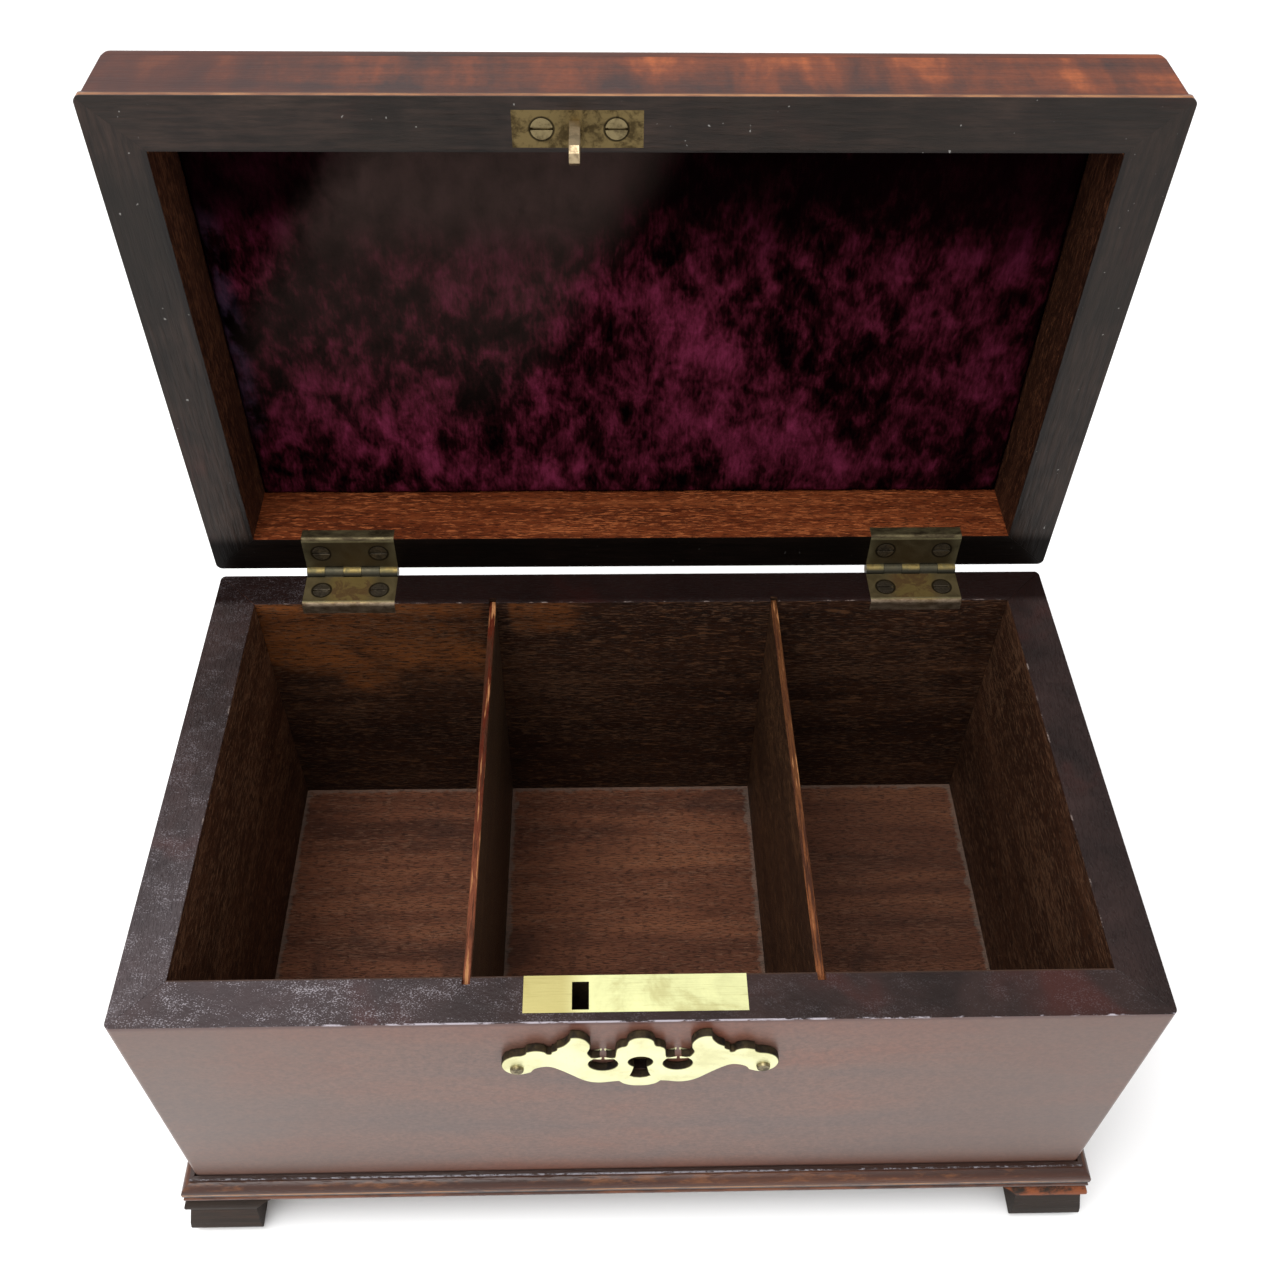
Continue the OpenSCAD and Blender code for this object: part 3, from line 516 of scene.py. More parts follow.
def lid_wood(name, axis, shift, inside, flamed=True):
    """Lid: warm polished outside, near-black rim with painted shade by the hinge, bright worn lip, and inner
    faces whose dark, middle and pale tones are given. flamed turns the figure across the grain."""
    f = Finish(name, rough=0.36)
    body, _ = grain(f, axis, shift, run=6, across=110)
    spread = along(axis, 85, 26) if flamed else along(axis, 5, 42)
    cloud = f.noise(spread, 4, 0.6, 0.2, tuple(s + 4 for s in shift))
    body = f.add(f.mul(body, 0.5), f.mul(cloud, 0.5))
    base = f.ramp(
        body, (0.39, (0.036, 0.018, 0.016)), (0.47, (0.078, 0.025, 0.015)), (0.54, (0.135, 0.035, 0.015)),
        (0.62, (0.28, 0.072, 0.022)),
    )
    fine = f.noise(along(axis, 900, 1300), 2, 0.7, 0, (1, 1, 1))
    base = f.mix(0.4, base, f.ramp(fine, (0.3, (0.32, 0.34, 0.36)), (0.7, (0.66, 0.64, 0.62))), "OVERLAY")
    base = f.mix(f.mul(f.step(f.x, -50 * MM, -112 * MM), 0.75), base, (0.040, 0.011, 0.008))
    depth = f.math("SUBTRACT", f.y, LID_FACE_Y)
    shade = f.step(depth, 6.5 * MM, 2.6 * MM)
    base = f.mix(f.mul(shade, 0.6), base, (0.060, 0.020, 0.014))
    chew = f.noise(along("x", 80, 300), 4, 0.7, 0, (3, 1, 9))
    worn = f.add(0.65, f.mul(f.step(chew, 0.35, 0.6), 0.35))
    lip = f.mul(f.band(depth, 1.25 * MM, 0.65 * MM, 0.35 * MM), worn)
    bright = f.ramp(chew, (0.35, (0.20, 0.075, 0.032)), (0.65, (0.36, 0.17, 0.070)))
    base = f.mix(f.mul(lip, 0.92), base, bright)
    base = f.mix(f.step(depth, 0.45 * MM, 0.2 * MM), base, (0.014, 0.006, 0.004))
    in_x = f.math("SUBTRACT", RIGHT - WALL + 0.15 * MM, f.math("ABSOLUTE", f.x))
    in_low = f.math("SUBTRACT", f.z, RECESS_LOW)
    in_high = f.math("SUBTRACT", RECESS_HIGH, f.z)
    within = f.math("MINIMUM", in_x, f.math("MINIMUM", in_low, in_high))
    under_top = f.step(f.y, LID_TOP_INSIDE + 1.0 * MM, LID_TOP_INSIDE + 0.4 * MM)
    inner = f.mul(f.step(within, 0.0, 0.1 * MM), under_top)
    body_in, _ = grain(f, axis, tuple(s + 2 for s in shift), run=14, across=260)
    dark, mid, pale = inside
    wood_in = f.ramp(body_in, (0.3, dark), (0.52, mid), (0.76, pale))
    fleck, pit = tuple(c * 1.5 for c in pale), tuple(c * 0.4 for c in dark)
    wood_in, relief = open_grain(f, axis, shift, fleck, pit, wood_in, 0.75)
    base = f.mix(inner, base, wood_in)
    rim = f.step(f.ny, -0.4, -0.75)
    base = rim_polish(f, base, rim, (0.0175, 0.0105, 0.0080))
    skin = f.noise(along(axis, 90, 900), 4, 0.65)
    streaks = f.ramp(skin, (0.38, (0.25, 0.27, 0.26)), (0.64, (0.76, 0.74, 0.70)))
    base = f.mix(f.mul(rim, 0.7), base, streaks, "OVERLAY")
    mote = f.step(f.noise(620, 1, 0.5, 0, shift), 0.755, 0.79)
    dim = f.mul(f.step(f.noise(14, 3, 0.6, 0.3, shift), 0.42, 0.66), 0.7)
    base = f.mix(f.mul(rim, dim), base, (0.0085, 0.0064, 0.0045))
    opening = f.mul(rim, f.band(within, -0.4 * MM, 0.4 * MM, 0.9 * MM))
    base = f.mix(f.mul(opening, 0.7), base, (0.004, 0.0025, 0.002))
    base = f.mix(f.mul(f.mul(mote, rim), 0.6), base, (0.30, 0.29, 0.27))
    # painted shade and dark reflection on the rim next to the hinge
    near_back = f.mul(rim, f.step(f.z, PIN_Z + 16 * MM, PIN_Z + 11 * MM))
    base = f.mix(f.mul(near_back, 0.9), base, (0.0012, 0.0007, 0.0005))
    f.colour(base)
    f.gloss(f.mix(inner, grey(0.36), grey(0.55)))
    f.shine(f.mix(f.add(inner, near_back, True), f.mix(rim, grey(0.25), grey(0.2)), grey(0.06)))
    f.bump(f.add(f.mul(skin, f.add(1.0, f.mul(rim, 2.0))), f.mul(relief, inner)), 0.06)
    return f.material


def brass(name, clean, soil, amount, rough, gloomy=(0.45, 0.62)):
    """Brass with soil in patches; amount is how much of it is covered."""
    f = Finish(name, rough=rough, Metallic=1.0)
    patch = f.noise(260, 5, 0.65, 0.5, (2, 2, 2))
    fine = f.noise((900, 500, 900), 3, 0.6)
    cover = f.step(f.add(f.mul(patch, 0.75), f.mul(fine, 0.25)), gloomy[0], gloomy[1])
    base = f.mix(f.mul(cover, amount), clean, soil)
    scratch = f.noise((60, 2600, 2600), 2, 0.5)
    base = f.mix(f.mul(f.step(scratch, 0.6, 0.75), 0.25), base, tuple(c * 0.6 for c in clean))
    f.colour(base)
    f.base = base
    f.gloss(f.ramp(cover, (0.0, (rough,) * 3), (1.0, (min(1, rough + 0.25),) * 3)))
    f.bump(f.add(f.mul(patch, 0.6), f.mul(scratch, 0.3)), 0.05)
    return f


def catch_brass():
    """Olive brass with a ring of grime round each of its two screws."""
    f = brass("brass_catch", (0.165, 0.120, 0.052), (0.050, 0.034, 0.016), 0.75, 0.5)
    low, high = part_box("catch_screws")
    head = (high.z - low.z) / 2
    sideways = f.off(f.off(f.x, (low.x + high.x) / 2), (high.x - low.x) / 2 - head)
    ring = f.band(f.apart(sideways, f.off(f.z, (low.z + high.z) / 2)), head + 0.05 * MM, 0.2 * MM, 0.35 * MM)
    f.colour(f.mix(f.mul(ring, 0.85), f.base, (0.012, 0.009, 0.005)))
    return f.material


def plate_brass(name, facing, clean, ochre):
    """Bright plate, polished on its face only, with painted olive shade where it rounds over: its sides and
    arrises stay brown with old soil.
    """
    f = Finish(name, rough=0.42, Metallic=0.85)
    front = facing == "y"
    face = f.step(f.mul(f.ny, -1.0) if front else f.nz, 0.55, 0.985)
    cloud = f.noise(90, 5, 0.65, 0.3, (5, 5, 5))
    scratch = f.noise((1900, 120, 1500) if front else (90, 2400, 90), 3, 0.7, 0.3)
    tone = f.ramp(cloud, (0.35, clean), (0.70, tuple(c * 0.78 for c in clean)))
    tone = f.mix(f.mul(f.step(f.x, -12 * MM, -20 * MM), 0.0 if front else 0.8), tone, ochre)
    tone = f.mix(f.mul(f.step(cloud, 0.50, 0.66), 0.35), tone, ochre)
    tone = f.mix(f.mul(f.step(scratch, 0.56, 0.72), 0.3), tone, tuple(c * 0.7 for c in ochre))
    soil = f.ramp(f.noise(420, 4, 0.7), (0.35, (0.006, 0.004, 0.003)), (0.7, (0.045, 0.030, 0.013)))
    olive = tuple(c * 0.42 for c in ochre)
    tone = f.mix(face, soil, tone)
    # painted olive shade where the rounded arris turns away from the face
    f.colour(f.mix(f.mul(f.band(face, 0.62, 0.12, 0.25), 0.7), tone, olive))
    f.put(f.shader.inputs["Metallic"], f.mul(face, 0.85))
    f.gloss(f.mix(face, grey(0.7), grey(0.40)))
    f.shine(0.15)
    f.bump(f.add(f.mul(scratch, 0.5), cloud), 0.04)
    return f.material


def hinge_brass(name, lying):
    """Tarnished hinge leaf: olive-gold on the arrises, brown in the middle, near-black there on the lid's
    leaf as a painted dark reflection, grime round the screws.
    lying is true for the leaf on the rim and false for the leaf on the open lid."""
    f = Finish(name, rough=0.45, Metallic=0.8)
    patch = f.noise(190, 5, 0.65, 0.6, (2, 2, 2))
    across = f.math("SUBTRACT", f.off(f.x, 0.0), HINGE_X)
    from_middle = f.math("ABSOLUTE", across)
    if lying:
        olive, brown = (0.105, 0.080, 0.038), (0.120, 0.060, 0.022)
        tone = f.mix(f.step(patch, 0.42, 0.6), (0.25, 0.175, 0.055), brown)
        middle = f.step(from_middle, 9 * MM, 4 * MM)
        away = f.math("SUBTRACT", PIN_Y, f.y)
        pale, deep = (0.20, 0.150, 0.105), (0.070, 0.045, 0.028)
    else:
        # on the lid's leaf the near-black middle is a painted dark reflection
        olive, tone = (0.10, 0.085, 0.045), (0.035, 0.022, 0.010)
        middle = f.step(from_middle, 14.5 * MM, 10 * MM)
        away = f.math("SUBTRACT", f.z, PIN_Z)
        pale, deep = (0.12, 0.098, 0.050), (0.036, 0.026, 0.014)
    base = f.ramp(patch, (0.35, olive), (0.65, tuple(c * 1.35 for c in olive)))
    base = f.mix(f.mul(middle, 0.75), base, tone)
    from_screw = f.apart(f.math("SUBTRACT", from_middle, SCREW_X), f.math("SUBTRACT", away, SCREW_AWAY))
    ring = f.band(from_screw, SCREW_R, 0.22 * MM, 0.35 * MM)
    base = f.mix(f.mul(ring, 0.9), base, (0.012, 0.008, 0.004))
    barrel = f.step(away, 2.3 * MM, 2.0 * MM)
    crown = f.step(f.add(f.mul(f.nz, 0.85), f.mul(f.ny, -0.25)), 0.55, 0.85)
    stripe = f.step(f.math("SINE", f.mul(f.add(across, LEAF_L / 2), math.pi / KNUCKLE_L)), -0.1, 0.15)
    rubbed = f.mul(f.mul(crown, f.add(0.12, f.mul(stripe, 0.88))), f.step(patch, 0.25, 0.5))
    gold = f.ramp(patch, (0.4, (0.24, 0.17, 0.055)), (0.6, (0.12, 0.10, 0.045)))
    knuckle = f.mix(rubbed, (0.045, 0.042, 0.030), gold)
    base = f.mix(barrel, base, knuckle)
    turned = f.step(away, LEAF_W - 0.05 * MM, LEAF_W + 0.85 * MM)
    mottle = f.ramp(f.noise((220, 500, 500), 4, 0.7), (0.38, deep), (0.64, pale))
    base = f.mix(f.mul(turned, 0.9), base, mottle)
    arris = f.band(away, LEAF_W, 0.12 * MM, 0.25 * MM)
    base = f.mix(f.mul(arris, 0.7), base, (0.22, 0.19, 0.10))
    f.colour(base)
    f.gloss(f.ramp(patch, (0.3, grey(0.38)), (0.7, grey(0.6))))
    f.shine(0.25)
    f.bump(f.add(patch, f.mul(f.noise(1200, 3), 0.3)), 0.08)
    return f.material


def plain(name, colour, rough, metallic=0.0):
    """One colour, mottled from 0.75 to 1.2 times itself, for parts that hardly show."""
    f = Finish(name, rough=rough, Metallic=metallic)
    mottle = f.noise(300, 4, 0.6)
    dull, clean = tuple(c * 0.75 for c in colour), tuple(c * 1.2 for c in colour)
    f.colour(f.ramp(mottle, (0.3, dull), (0.7, clean)))
    f.bump(mottle, 0.05)
    return f.material


def velvet():
    """Crushed pile: leaning strokes of wine and magenta gathered in clouds on near-black, under a painted
    shadow of the lid's front rail along the top and a painted brownish haze of light over its upper middle.
    """
    f = Finish("velvet_wine_crushed", rough=1.0)
    f.shine(0.0)
    cloud = f.noise((26, 26, 22), 3, 0.55, 0.3, (4, 0, 1))
    blotch = f.noise((135, 120, 95), 4, 0.6, 0.25, (2, 0, 7))
    stroke_a = f.noise((300, 200, 80), 3, 0.62, 0.2, (1, 0, 2), f.turned(0.5))
    stroke_b = f.noise((310, 200, 90), 3, 0.62, 0.2, (5, 0, 3), f.turned(-0.35))
    nap = f.noise((1300, 300, 260), 2, 0.6, 0.2, (3, 0, 3))
    stroke = f.math("MAXIMUM", stroke_a, stroke_b)
    pile = f.add(f.add(f.mul(cloud, 0.32), f.mul(blotch, 0.36)), f.add(f.mul(stroke, 0.20), f.mul(nap, 0.12)))
    base = f.ramp(
        pile, (0.44, (0.0010, 0.0002, 0.0003)), (0.49, (0.0090, 0.0012, 0.0022)),
        (0.535, (0.036, 0.0042, 0.0090)), (0.58, (0.072, 0.0080, 0.021)), (0.65, (0.130, 0.015, 0.043)),
    )
    down = f.math("SUBTRACT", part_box("velvet_lining")[1].z, f.z)
    # painted shadow of the lid's front rail across the top of the cloth
    rail_shadow = f.step(f.add(down, f.mul(cloud, -24 * MM)), 38 * MM, 6 * MM)
    base = f.mix(f.mul(rail_shadow, 0.93), base, (0.0014, 0.0004, 0.0005))
    # painted brownish haze of light over the upper middle of the cloth; worn only marks where it lies
    right_side = f.step(f.add(f.x, f.add(f.mul(down, 0.5), f.mul(blotch, 8 * MM))), 24 * MM, 2 * MM)
    left_side = f.step(f.add(f.x, f.add(f.mul(down, 0.7), f.mul(blotch, 8 * MM))), -70 * MM, -50 * MM)
    glare_falloff = f.add(f.mul(f.step(down, 44 * MM, 20 * MM), 0.55), f.mul(f.step(down, 108 * MM, 40 * MM), 0.45))
    worn = f.mul(f.mul(right_side, left_side), glare_falloff)
    painted_glare = f.ramp(blotch, (0.3, (0.026, 0.0175, 0.0150)), (0.7, (0.044, 0.0270, 0.0240)))
    base = f.mix(f.mul(worn, 0.93), base, painted_glare)
    right = f.step(f.x, 20 * MM, 105 * MM)
    base = f.mix(f.mul(right, 0.3), base, (0.004, 0.0004, 0.001))
    at_left = f.step(f.math("SUBTRACT", f.x, LEFT + WALL), 8 * MM, 1 * MM)
    bloom = f.mul(at_left, f.band(down, 62 * MM, 26 * MM, 14 * MM))
    base = f.mix(f.mul(f.mul(bloom, f.step(blotch, 0.4, 0.62)), 0.6), base, (0.050, 0.032, 0.062))
    f.colour(base)
    f.bump(f.add(pile, f.mul(f.noise(1500, 2), 0.15)), 0.9)
    return f.material


# ---------------------------------------------------------------- piece making


def new_piece(name, mesh, material, body, replaced=()):
    """A mesh as a named piece with one material, riding on a body of the model."""
    piece = bpy.data.objects.new(name, mesh)
    bpy.context.scene.collection.objects.link(piece)
    mesh.materials.clear()
    mesh.materials.append(material)
    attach(piece, body)
    if replaced:
        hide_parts(*replaced)
    return piece


def weld(source, mesh, corner, flat=None):
    """Copy source into mesh: points within 0.004 mm joined, faces turned outward and shaded smooth
    up to a corner in degrees. With flat, faces within that many degrees of one plane become one."""
    work = bmesh.new()
    work.from_mesh(source)
    bmesh.ops.remove_doubles(work, verts=work.verts, dist=0.004 * MM)
    if flat is not None:
        bmesh.ops.dissolve_limit(work, angle_limit=math.radians(flat), verts=work.verts, edges=work.edges)
    bmesh.ops.recalc_face_normals(work, faces=work.faces)
    for face in work.faces:
        face.smooth = True
    work.to_mesh(mesh)
    work.free()
    mesh.set_sharp_from_angle(angle=math.radians(corner))


def level_faces(piece):
    """Shade the broad faces flat: normals weighted by area, sharp edges kept."""
    level = piece.modifiers.new("flat_faces", "WEIGHTED_NORMAL")
    level.keep_sharp = True
    level.weight = 100


def eased(node, width_mm, material):
    """A copy of a CAD node with its arrises eased by a small rounding."""
    source = nodes[node]
    mesh = bpy.data.meshes.new(node + "_eased")
    weld(source.data, mesh, CORNER, flat=0.6)
    piece = new_piece(node + "_eased", mesh, material, source["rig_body"], [node])
    ease = piece.modifiers.new("eased_arris", "BEVEL")
    ease.width = width_mm * MM
    ease.segments = 2
    ease.limit_method = "ANGLE"
    ease.angle_limit = math.radians(CORNER)
    ease.use_clamp_overlap = True
    ease.harden_normals = True
    level_faces(piece)


def surface(name, grid):
    """A mesh from a grid of points, rows by columns: one four-sided face between neighbours."""
    rows, columns = grid.shape[:2]
    index = np.arange(rows * columns).reshape(rows, columns)
    quads = np.stack([index[:-1, :-1], index[:-1, 1:], index[1:, 1:], index[1:, :-1]], -1).reshape(-1, 4)
    mesh = bpy.data.meshes.new(name)
    mesh.from_pydata(grid.reshape(-1, 3).tolist(), [], quads.tolist())
    mesh.polygons.foreach_set("use_smooth", np.ones(len(mesh.polygons), bool))
    mesh.set_sharp_from_angle(angle=math.radians(35))
    mesh.update()
    return mesh


def smooth_field(shape, spacing, seed, reach):
    """Random values smoothed to features about reach wide: white noise cut off above 1/reach."""
    chance = np.random.default_rng(seed).standard_normal(shape)
    freq = np.hypot(np.fft.fftfreq(shape[0], spacing)[:, None], np.fft.rfftfreq(shape[1], spacing)[None])
    field = np.fft.irfft2(np.fft.rfft2(chance) * np.exp(-((freq * reach) ** 2)), shape)
    return field / field.std()


def velvet_piece():
    """Cloth over the card: y = face + pile height, falling back by 1 mm in a rounded tuck at the edges."""
    low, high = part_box("velvet_lining")
    step = 1.2 * MM
    nx, nz = int((high.x - low.x) / step), int((high.z - low.z) / step)
    x = np.linspace(low.x, high.x, nx)[None].repeat(nz, 0)
    z = np.linspace(low.z, high.z, nz)[:, None].repeat(nx, 1)
    edge = np.minimum(np.minimum(x - low.x, high.x - x), np.minimum(z - low.z, high.z - z))
    tuck = 1.0 * MM * (1 - np.clip(edge / (2.5 * MM), 0, 1)) ** 2
    pile = smooth_field((nz, nx), step, 11, 9 * MM) * 0.14 + smooth_field((nz, nx), step, 12, 3.4 * MM) * 0.05
    grid = np.stack([x, low.y + 0.25 * MM + tuck + pile * MM * 0.8, z], -1)
    mesh = surface("velvet_cloth", grid)
    piece = new_piece("velvet_cloth", mesh, velvet(), "lid", ["velvet_lining"])
    thick = piece.modifiers.new("cloth_thickness", "SOLIDIFY")
    thick.thickness = 0.5 * MM
    thick.offset = -1


def smooth_run(points, parts=6):
    """Catmull-Rom curve through the points, with its end points repeated."""
    p = np.array([points[0]] + list(points) + [points[-1]], float)
    t = np.linspace(0, 1, parts, endpoint=False)[:, None]
    runs = []
    for a, b, c, d in zip(p[:-3], p[1:-2], p[2:-1], p[3:]):
        bend = (2 * a - 5 * b + 4 * c - d) * t**2 + (3 * b - a - 3 * c + d) * t**3
        runs.append(0.5 * (2 * b + (c - a) * t + bend))
    return np.concatenate(runs)


def arc(centre, r, start, end, count=14):
    """Points on a circle from one angle to another, in degrees."""
    a = np.radians(np.linspace(start, end, count))
    return np.stack([centre[0] + r * np.cos(a), centre[1] + r * np.sin(a)], 1)


def escutcheon_outlines():
    """The plate's scrolled outline and its keyhole, in millimetres round the key's centre.
    The right half is drawn and mirrored for the left."""
    half = np.concatenate([
        smooth_run([(0, 13.0), (1.6, 12.7), (2.9, 11.4), (3.3, 9.6)]),
        smooth_run([(3.3, 9.6), (3.7, 8.6), (4.6, 8.3)]),
        smooth_run([(4.6, 8.3), (5.7, 7.2), (6.0, 5.4), (6.1, 3.6), (6.3, 2.6)]),
        [(6.3, 2.5), (8.2, 2.4)],
        arc((9.0, -0.9), 3.5, 103, 143, 4),
        arc((9.0, -0.9), 3.5, 143, 397, 30),
        arc((9.0, -0.9), 3.5, 397, 437, 4),
        [(9.8, 2.4), (11.7, 2.6)],
        smooth_run([
            (11.9, 3.0), (12.6, 5.2), (12.0, 7.6), (12.1, 10.0), (13.3, 12.4), (14.9, 13.4), (16.6, 13.4),
        ]),
        smooth_run([(16.6, 13.4), (17.0, 11.6), (18.3, 9.3), (19.9, 8.0)]),
        smooth_run([(19.9, 8.0), (20.1, 6.8), (21.2, 6.0)]),
        smooth_run([(21.2, 6.0), (21.5, 4.9), (22.2, 5.0)]),
        smooth_run([(22.2, 5.0), (23.0, 6.2), (25.0, 6.8), (27.2, 6.1)]),
        smooth_run([(27.2, 6.1), (27.6, 4.9), (28.6, 4.2)]),
        smooth_run([
            (28.6, 4.2), (30.6, 3.8), (32.6, 2.0), (33.5, -1.0), (32.8, -4.0), (30.8, -5.9), (28.6, -6.0),
            (26.4, -4.9),
        ]),
        smooth_run([
            (26.4, -4.9), (25.5, -3.2), (23.6, -2.1), (21.6, -2.2), (19.2, -4.2), (16.6, -7.0), (14.3, -9.5),
            (12.0, -11.0), (9.5, -11.4), (7.0, -10.9), (5.2, -10.6),
        ]),
        smooth_run([(5.2, -10.6), (4.0, -12.2), (1.9, -13.2), (0.0, -13.4)]),
    ])
    outline = np.concatenate([half, (half * (-1, 1))[::-1][1:-1]])
    slot = np.array([(-1.55, -3.4), (-1.9, -5.6), (-2.4, -7.6), (-1.5, -8.3)])
    keyhole = np.concatenate([arc((0, 0), 2.9, -59, 239, 28), slot, [(0, -8.6)], (slot * (-1, 1))[::-1]])
    return outline, keyhole


def escutcheon_piece(material):
    """The pierced plate: its outlines drawn out to the CAD's thickness, arrises rounded by a quarter
    circle, then stood upright with the keyhole on the key's pin."""
    low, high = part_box("escutcheon")
    thick = high.y - low.y
    round_over = 0.42 * MM
    curve = bpy.data.curves.new("escutcheon_outline", "CURVE")
    curve.dimensions, curve.fill_mode = "2D", "BOTH"
    curve.extrude = thick / 2 - round_over
    curve.bevel_depth, curve.bevel_resolution, curve.offset = round_over, 3, -round_over
    for points in escutcheon_outlines():
        spline = curve.splines.new("POLY")
        spline.points.add(len(points) - 1)
        flat = np.concatenate([points * MM, np.zeros((len(points), 1)), np.ones((len(points), 1))], 1)
        spline.points.foreach_set("co", flat.ravel())
        spline.use_cyclic_u = True
    drawn = bpy.data.objects.new("escutcheon_drawn", curve)
    mesh = bpy.data.meshes.new_from_object(drawn)
    bpy.data.objects.remove(drawn)
    flat = np.empty(3 * len(mesh.vertices))
    mesh.vertices.foreach_get("co", flat)
    x, up, out = flat.reshape(-1, 3).T
    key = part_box("lock_key_pin")
    middle_x, middle_y = (low.x + high.x) / 2, (low.y + high.y) / 2
    placed = np.stack([x + middle_x, middle_y - out, up + (key[0].z + key[1].z) / 2], 1)
    mesh.vertices.foreach_set("co", placed.ravel())
    weld(mesh, mesh, 40)
    body = nodes["escutcheon"]["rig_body"]
    level_faces(new_piece("escutcheon_plate", mesh, material, body, ["escutcheon"]))


# ---------------------------------------------------------------- camera, floor and light


def set_camera():
    """The eye is above and before the case and looks down, 42 degrees from the plumb line."""
    data = bpy.data.cameras.new("camera")
    data.lens = 37.56
    data.sensor_width = 36
    data.clip_start, data.clip_end = 0.01, 50
    camera = bpy.data.objects.new("camera", data)
    camera.location = (-0.00933, MID_Y - 0.21418, RIM + 0.28866)
    camera.rotation_euler = tuple(math.radians(a) for a in (42.146, -0.756, -1.225))
    bpy.context.scene.collection.objects.link(camera)
    bpy.context.scene.camera = camera
    bpy.context.scene.view_settings.view_transform = "Standard"


def lay_floor():
    """A pale floor, 8 m square, at height 0."""
    ground = bpy.data.meshes.new("floor")
    ground.from_pydata([(-4, -4, 0), (4, -4, 0), (4, 4, 0), (-4, 4, 0)], [], [(0, 1, 2, 3)])
    floor = bpy.data.objects.new("floor", ground)
    bpy.context.scene.collection.objects.link(floor)
    f = Finish("pale_floor", rough=0.8)
    f.shine(0.1)
    f.colour(grey(0.94))
    ground.materials.append(f.material)


def shaded(tree, value, start, end, first, last):
    """Strength that goes in a straight line from first, where value is start, to last, where it is end."""
    node = tree.nodes.new("ShaderNodeMapRange")
    tree.links.new(value, node.inputs["Value"])
    node.inputs["From Min"].default_value = start
    node.inputs["From Max"].default_value = end
    node.inputs["To Min"].default_value = first
    node.inputs["To Max"].default_value = last
    return node.outputs["Result"]


def light_room():
    """White walls whose strength is side x behind: side falls from left to right, and behind
    falls from front to back and toward the floor."""
    world = bpy.data.worlds.new("studio")
    bpy.context.scene.world = world
    world.use_nodes = True
    tree = world.node_tree
    back = tree.nodes["Background"]
    coords = tree.nodes.new("ShaderNodeTexCoord")
    parts = tree.nodes.new("ShaderNodeSeparateXYZ")
    tree.links.new(coords.outputs["Generated"], parts.inputs[0])
    side = shaded(tree, parts.outputs[0], -0.5, 0.5, 1.45, 0.75)
    lean = tree.nodes.new("ShaderNodeMath")
    lean.operation = "MULTIPLY_ADD"
    tree.links.new(parts.outputs[2], lean.inputs[0])
    lean.inputs[1].default_value = -1.2
    tree.links.new(parts.outputs[1], lean.inputs[2])
    behind = shaded(tree, lean.outputs[0], -0.6, 0.4, 1.05, 0.5)
    both = tree.nodes.new("ShaderNodeMath")
    both.operation = "MULTIPLY"
    tree.links.new(side, both.inputs[0])
    tree.links.new(behind, both.inputs[1])
    tree.links.new(both.outputs[0], back.inputs["Strength"])
    back.inputs["Color"].default_value = (1, 1, 1, 1)


def hang_softbox():
    """A broad lamp over the left front, aimed at a point 0.12 m above the floor."""
    key = bpy.data.lights.new("softbox", "AREA")
    key.shape = "RECTANGLE"
    key.size, key.size_y = 0.9, 0.7
    key.energy = 13
    lamp = bpy.data.objects.new("softbox", key)
    lamp.location = (-0.30, -0.25, 1.3)
    aim = np.array([0, 0, 0.12]) - np.array(lamp.location)
    lamp.rotation_euler = (math.atan2(math.hypot(aim[0], aim[1]), -aim[2]), 0, math.atan2(-aim[0], aim[1]))
    bpy.context.scene.collection.objects.link(lamp)


# ---------------------------------------------------------------- the caddy

set_camera()
lay_floor()
light_room()
hang_softbox()

front = outer_front()
back = case_inside("mahogany_back", "x", (1, 2, 3), patches=True)
left = case_inside("mahogany_left_side", "y", (4, 5, 6), lift=2.6)
right = case_inside("mahogany_right_side", "y", (7, 1, 2), lift=1.45)
eased("front_wall", 0.35, front)
eased("back_wall", 0.3, back)
eased("left_wall", 0.35, left)
eased("right_wall", 0.35, right)
nodes["base_board"].data.materials.clear()
nodes["base_board"].data.materials.append(well_floor())
eased("divider_left", 0.3, divider_wood("divider_left_wood", -1))
eased("divider_right", 0.3, divider_wood("divider_right_wood", 1))

eased("plinth_front", 0.2, plinth_wood("x"))
plinth_side = plinth_wood("y")
eased("plinth_left", 0.2, plinth_side)
eased("plinth_right", 0.2, plinth_side)
foot = foot_wood()
for name in nodes:
    if name.startswith("foot_") and name != "foot_glue_blocks":
        eased(name, 0.3, foot)

warm_in = ((0.045, 0.009, 0.003), (0.110, 0.024, 0.007), (0.21, 0.060, 0.019))
dim_in = ((0.014, 0.005, 0.003), (0.040, 0.014, 0.0075), (0.10, 0.038, 0.018))
dimmer_in = tuple(tuple(c * 0.6 for c in tone) for tone in dim_in)
eased("lid_rail_front", 0.3, lid_wood("lid_front_wood", "x", (2, 6, 1), dim_in))
eased("lid_rail_back", 0.3, lid_wood("lid_back_wood", "x", (5, 1, 8), warm_in))
eased("lid_rail_left", 0.3, lid_wood("lid_left_wood", "z", (3, 3, 1), dim_in))
eased("lid_rail_right", 0.3, lid_wood("lid_right_wood", "z", (1, 8, 4), dimmer_in))
eased("lid_top", 0.2, lid_wood("lid_top_wood", "x", (2, 6, 1), dim_in, flamed=False))

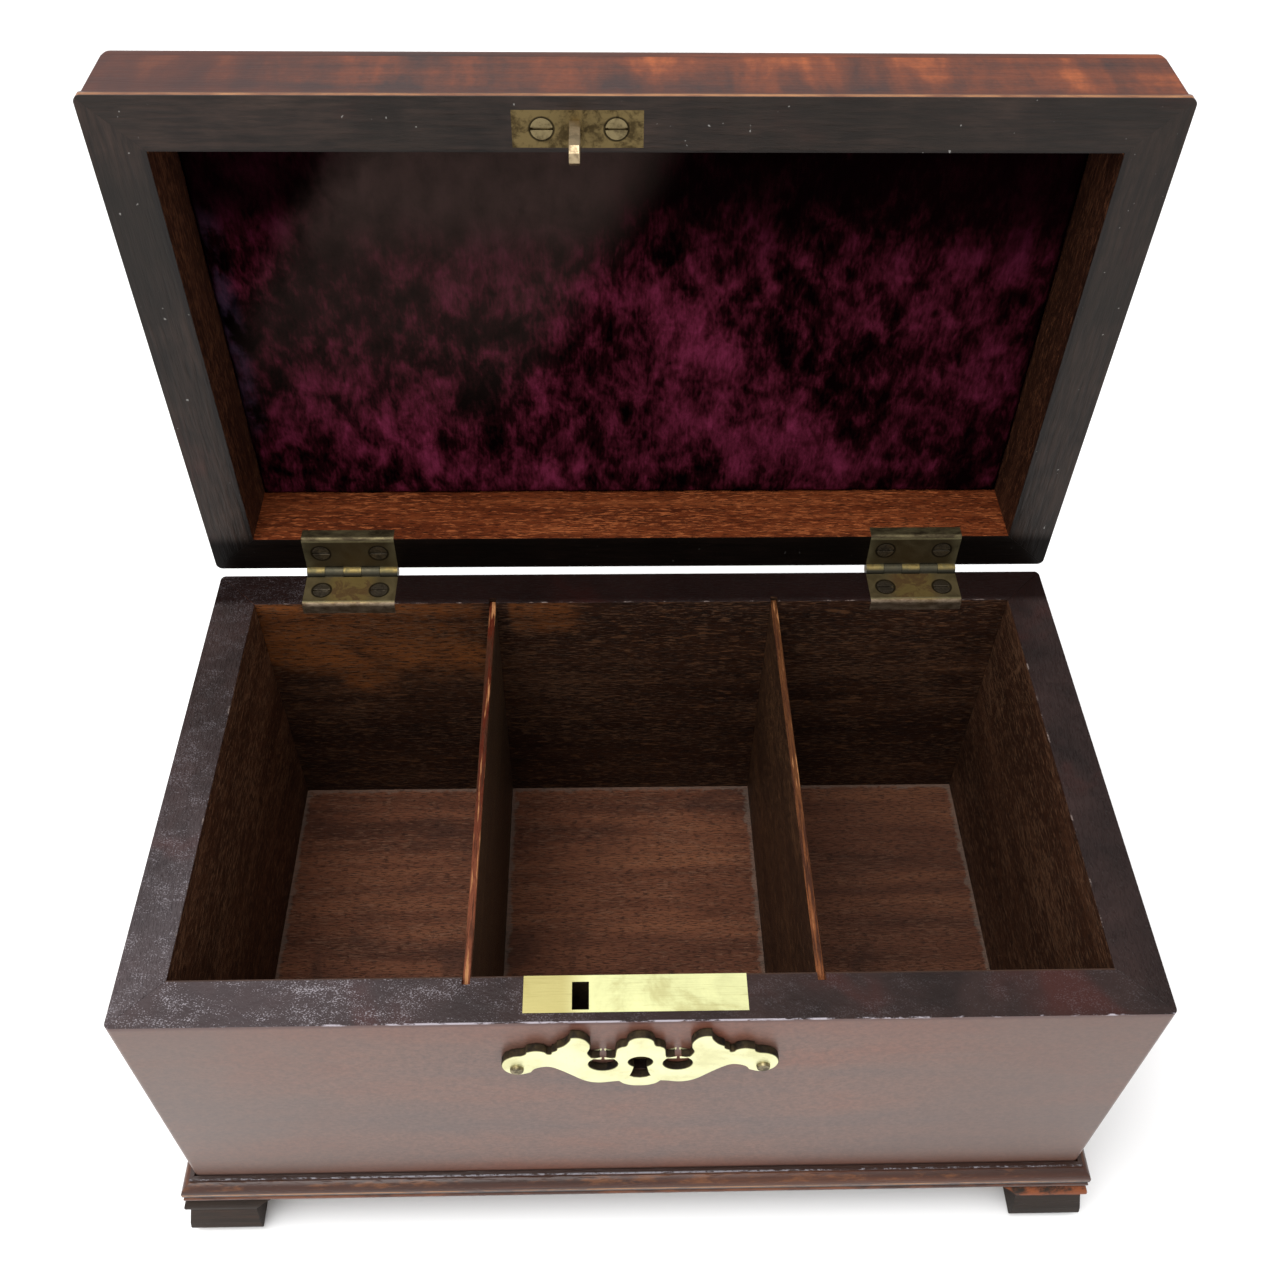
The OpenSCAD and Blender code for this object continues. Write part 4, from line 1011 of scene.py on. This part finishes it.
shown = plate_brass("brass_escutcheon", "y", (0.84, 0.83, 0.49), (0.60, 0.56, 0.26))
rim_plate = plate_brass("brass_selvage", "z", (0.75, 0.75, 0.385), (0.42, 0.345, 0.12))
pin_brass = brass("brass_pins", (0.24, 0.20, 0.11), (0.05, 0.04, 0.025), 0.85, 0.4).material
tarnished = brass("brass_tarnished", (0.30, 0.22, 0.10), (0.06, 0.042, 0.022), 0.85, 0.42).material
catch_screw = brass("brass_catch_screws", (0.21, 0.165, 0.085), (0.08, 0.058, 0.030), 0.6, 0.4).material
grime = (0.032, 0.024, 0.016)
grimy = brass("brass_hinge_screws", (0.15, 0.125, 0.09), grime, 0.85, 0.35, (0.40, 0.60)).material
hook_brass = brass("brass_hook", (0.40, 0.31, 0.19), (0.20, 0.145, 0.085), 0.6, 0.4).material
lying, standing = hinge_brass("brass_hinge_case", True), hinge_brass("brass_hinge_lid", False)
for name, finish, ease in (
    ("escutcheon_pins", pin_brass, 0.1), ("lock_plate", rim_plate, 0.15),
    ("hinge_left_case_leaf", lying, 0.12), ("hinge_right_case_leaf", lying, 0.12),
    ("hinge_left_lid_leaf", standing, 0.12), ("hinge_right_lid_leaf", standing, 0.12),
    ("hinge_case_screws", grimy, 0.06), ("hinge_lid_screws", grimy, 0.06),
    ("catch_plate", catch_brass(), 0.12), ("catch_hook", hook_brass, 0.2),
    ("catch_screws", catch_screw, 0.06),
    ("lock_cap", tarnished, 0.1), ("lock_screws", tarnished, 0.05), ("lock_bolt", tarnished, 0.1),
    ("lock_cap_studs", tarnished, 0.05), ("hinge_left_pin", tarnished, 0.05),
    ("hinge_right_pin", tarnished, 0.05),
):
    eased(name, ease, finish)
for name, finish in (
    ("foot_glue_blocks", plain("pine_raw", (0.42, 0.27, 0.14), 0.7)),
    ("lock_key_pin", plain("steel_dull", (0.3, 0.3, 0.31), 0.4, 1.0)),
    ("lock_spring", plain("steel_spring", (0.3, 0.3, 0.31), 0.4, 1.0)),
    ("lining_card", plain("card_grey", (0.5, 0.45, 0.38), 0.9)),
):
    nodes[name].data.materials.clear()
    nodes[name].data.materials.append(finish)
velvet_piece()
escutcheon_piece(shown)
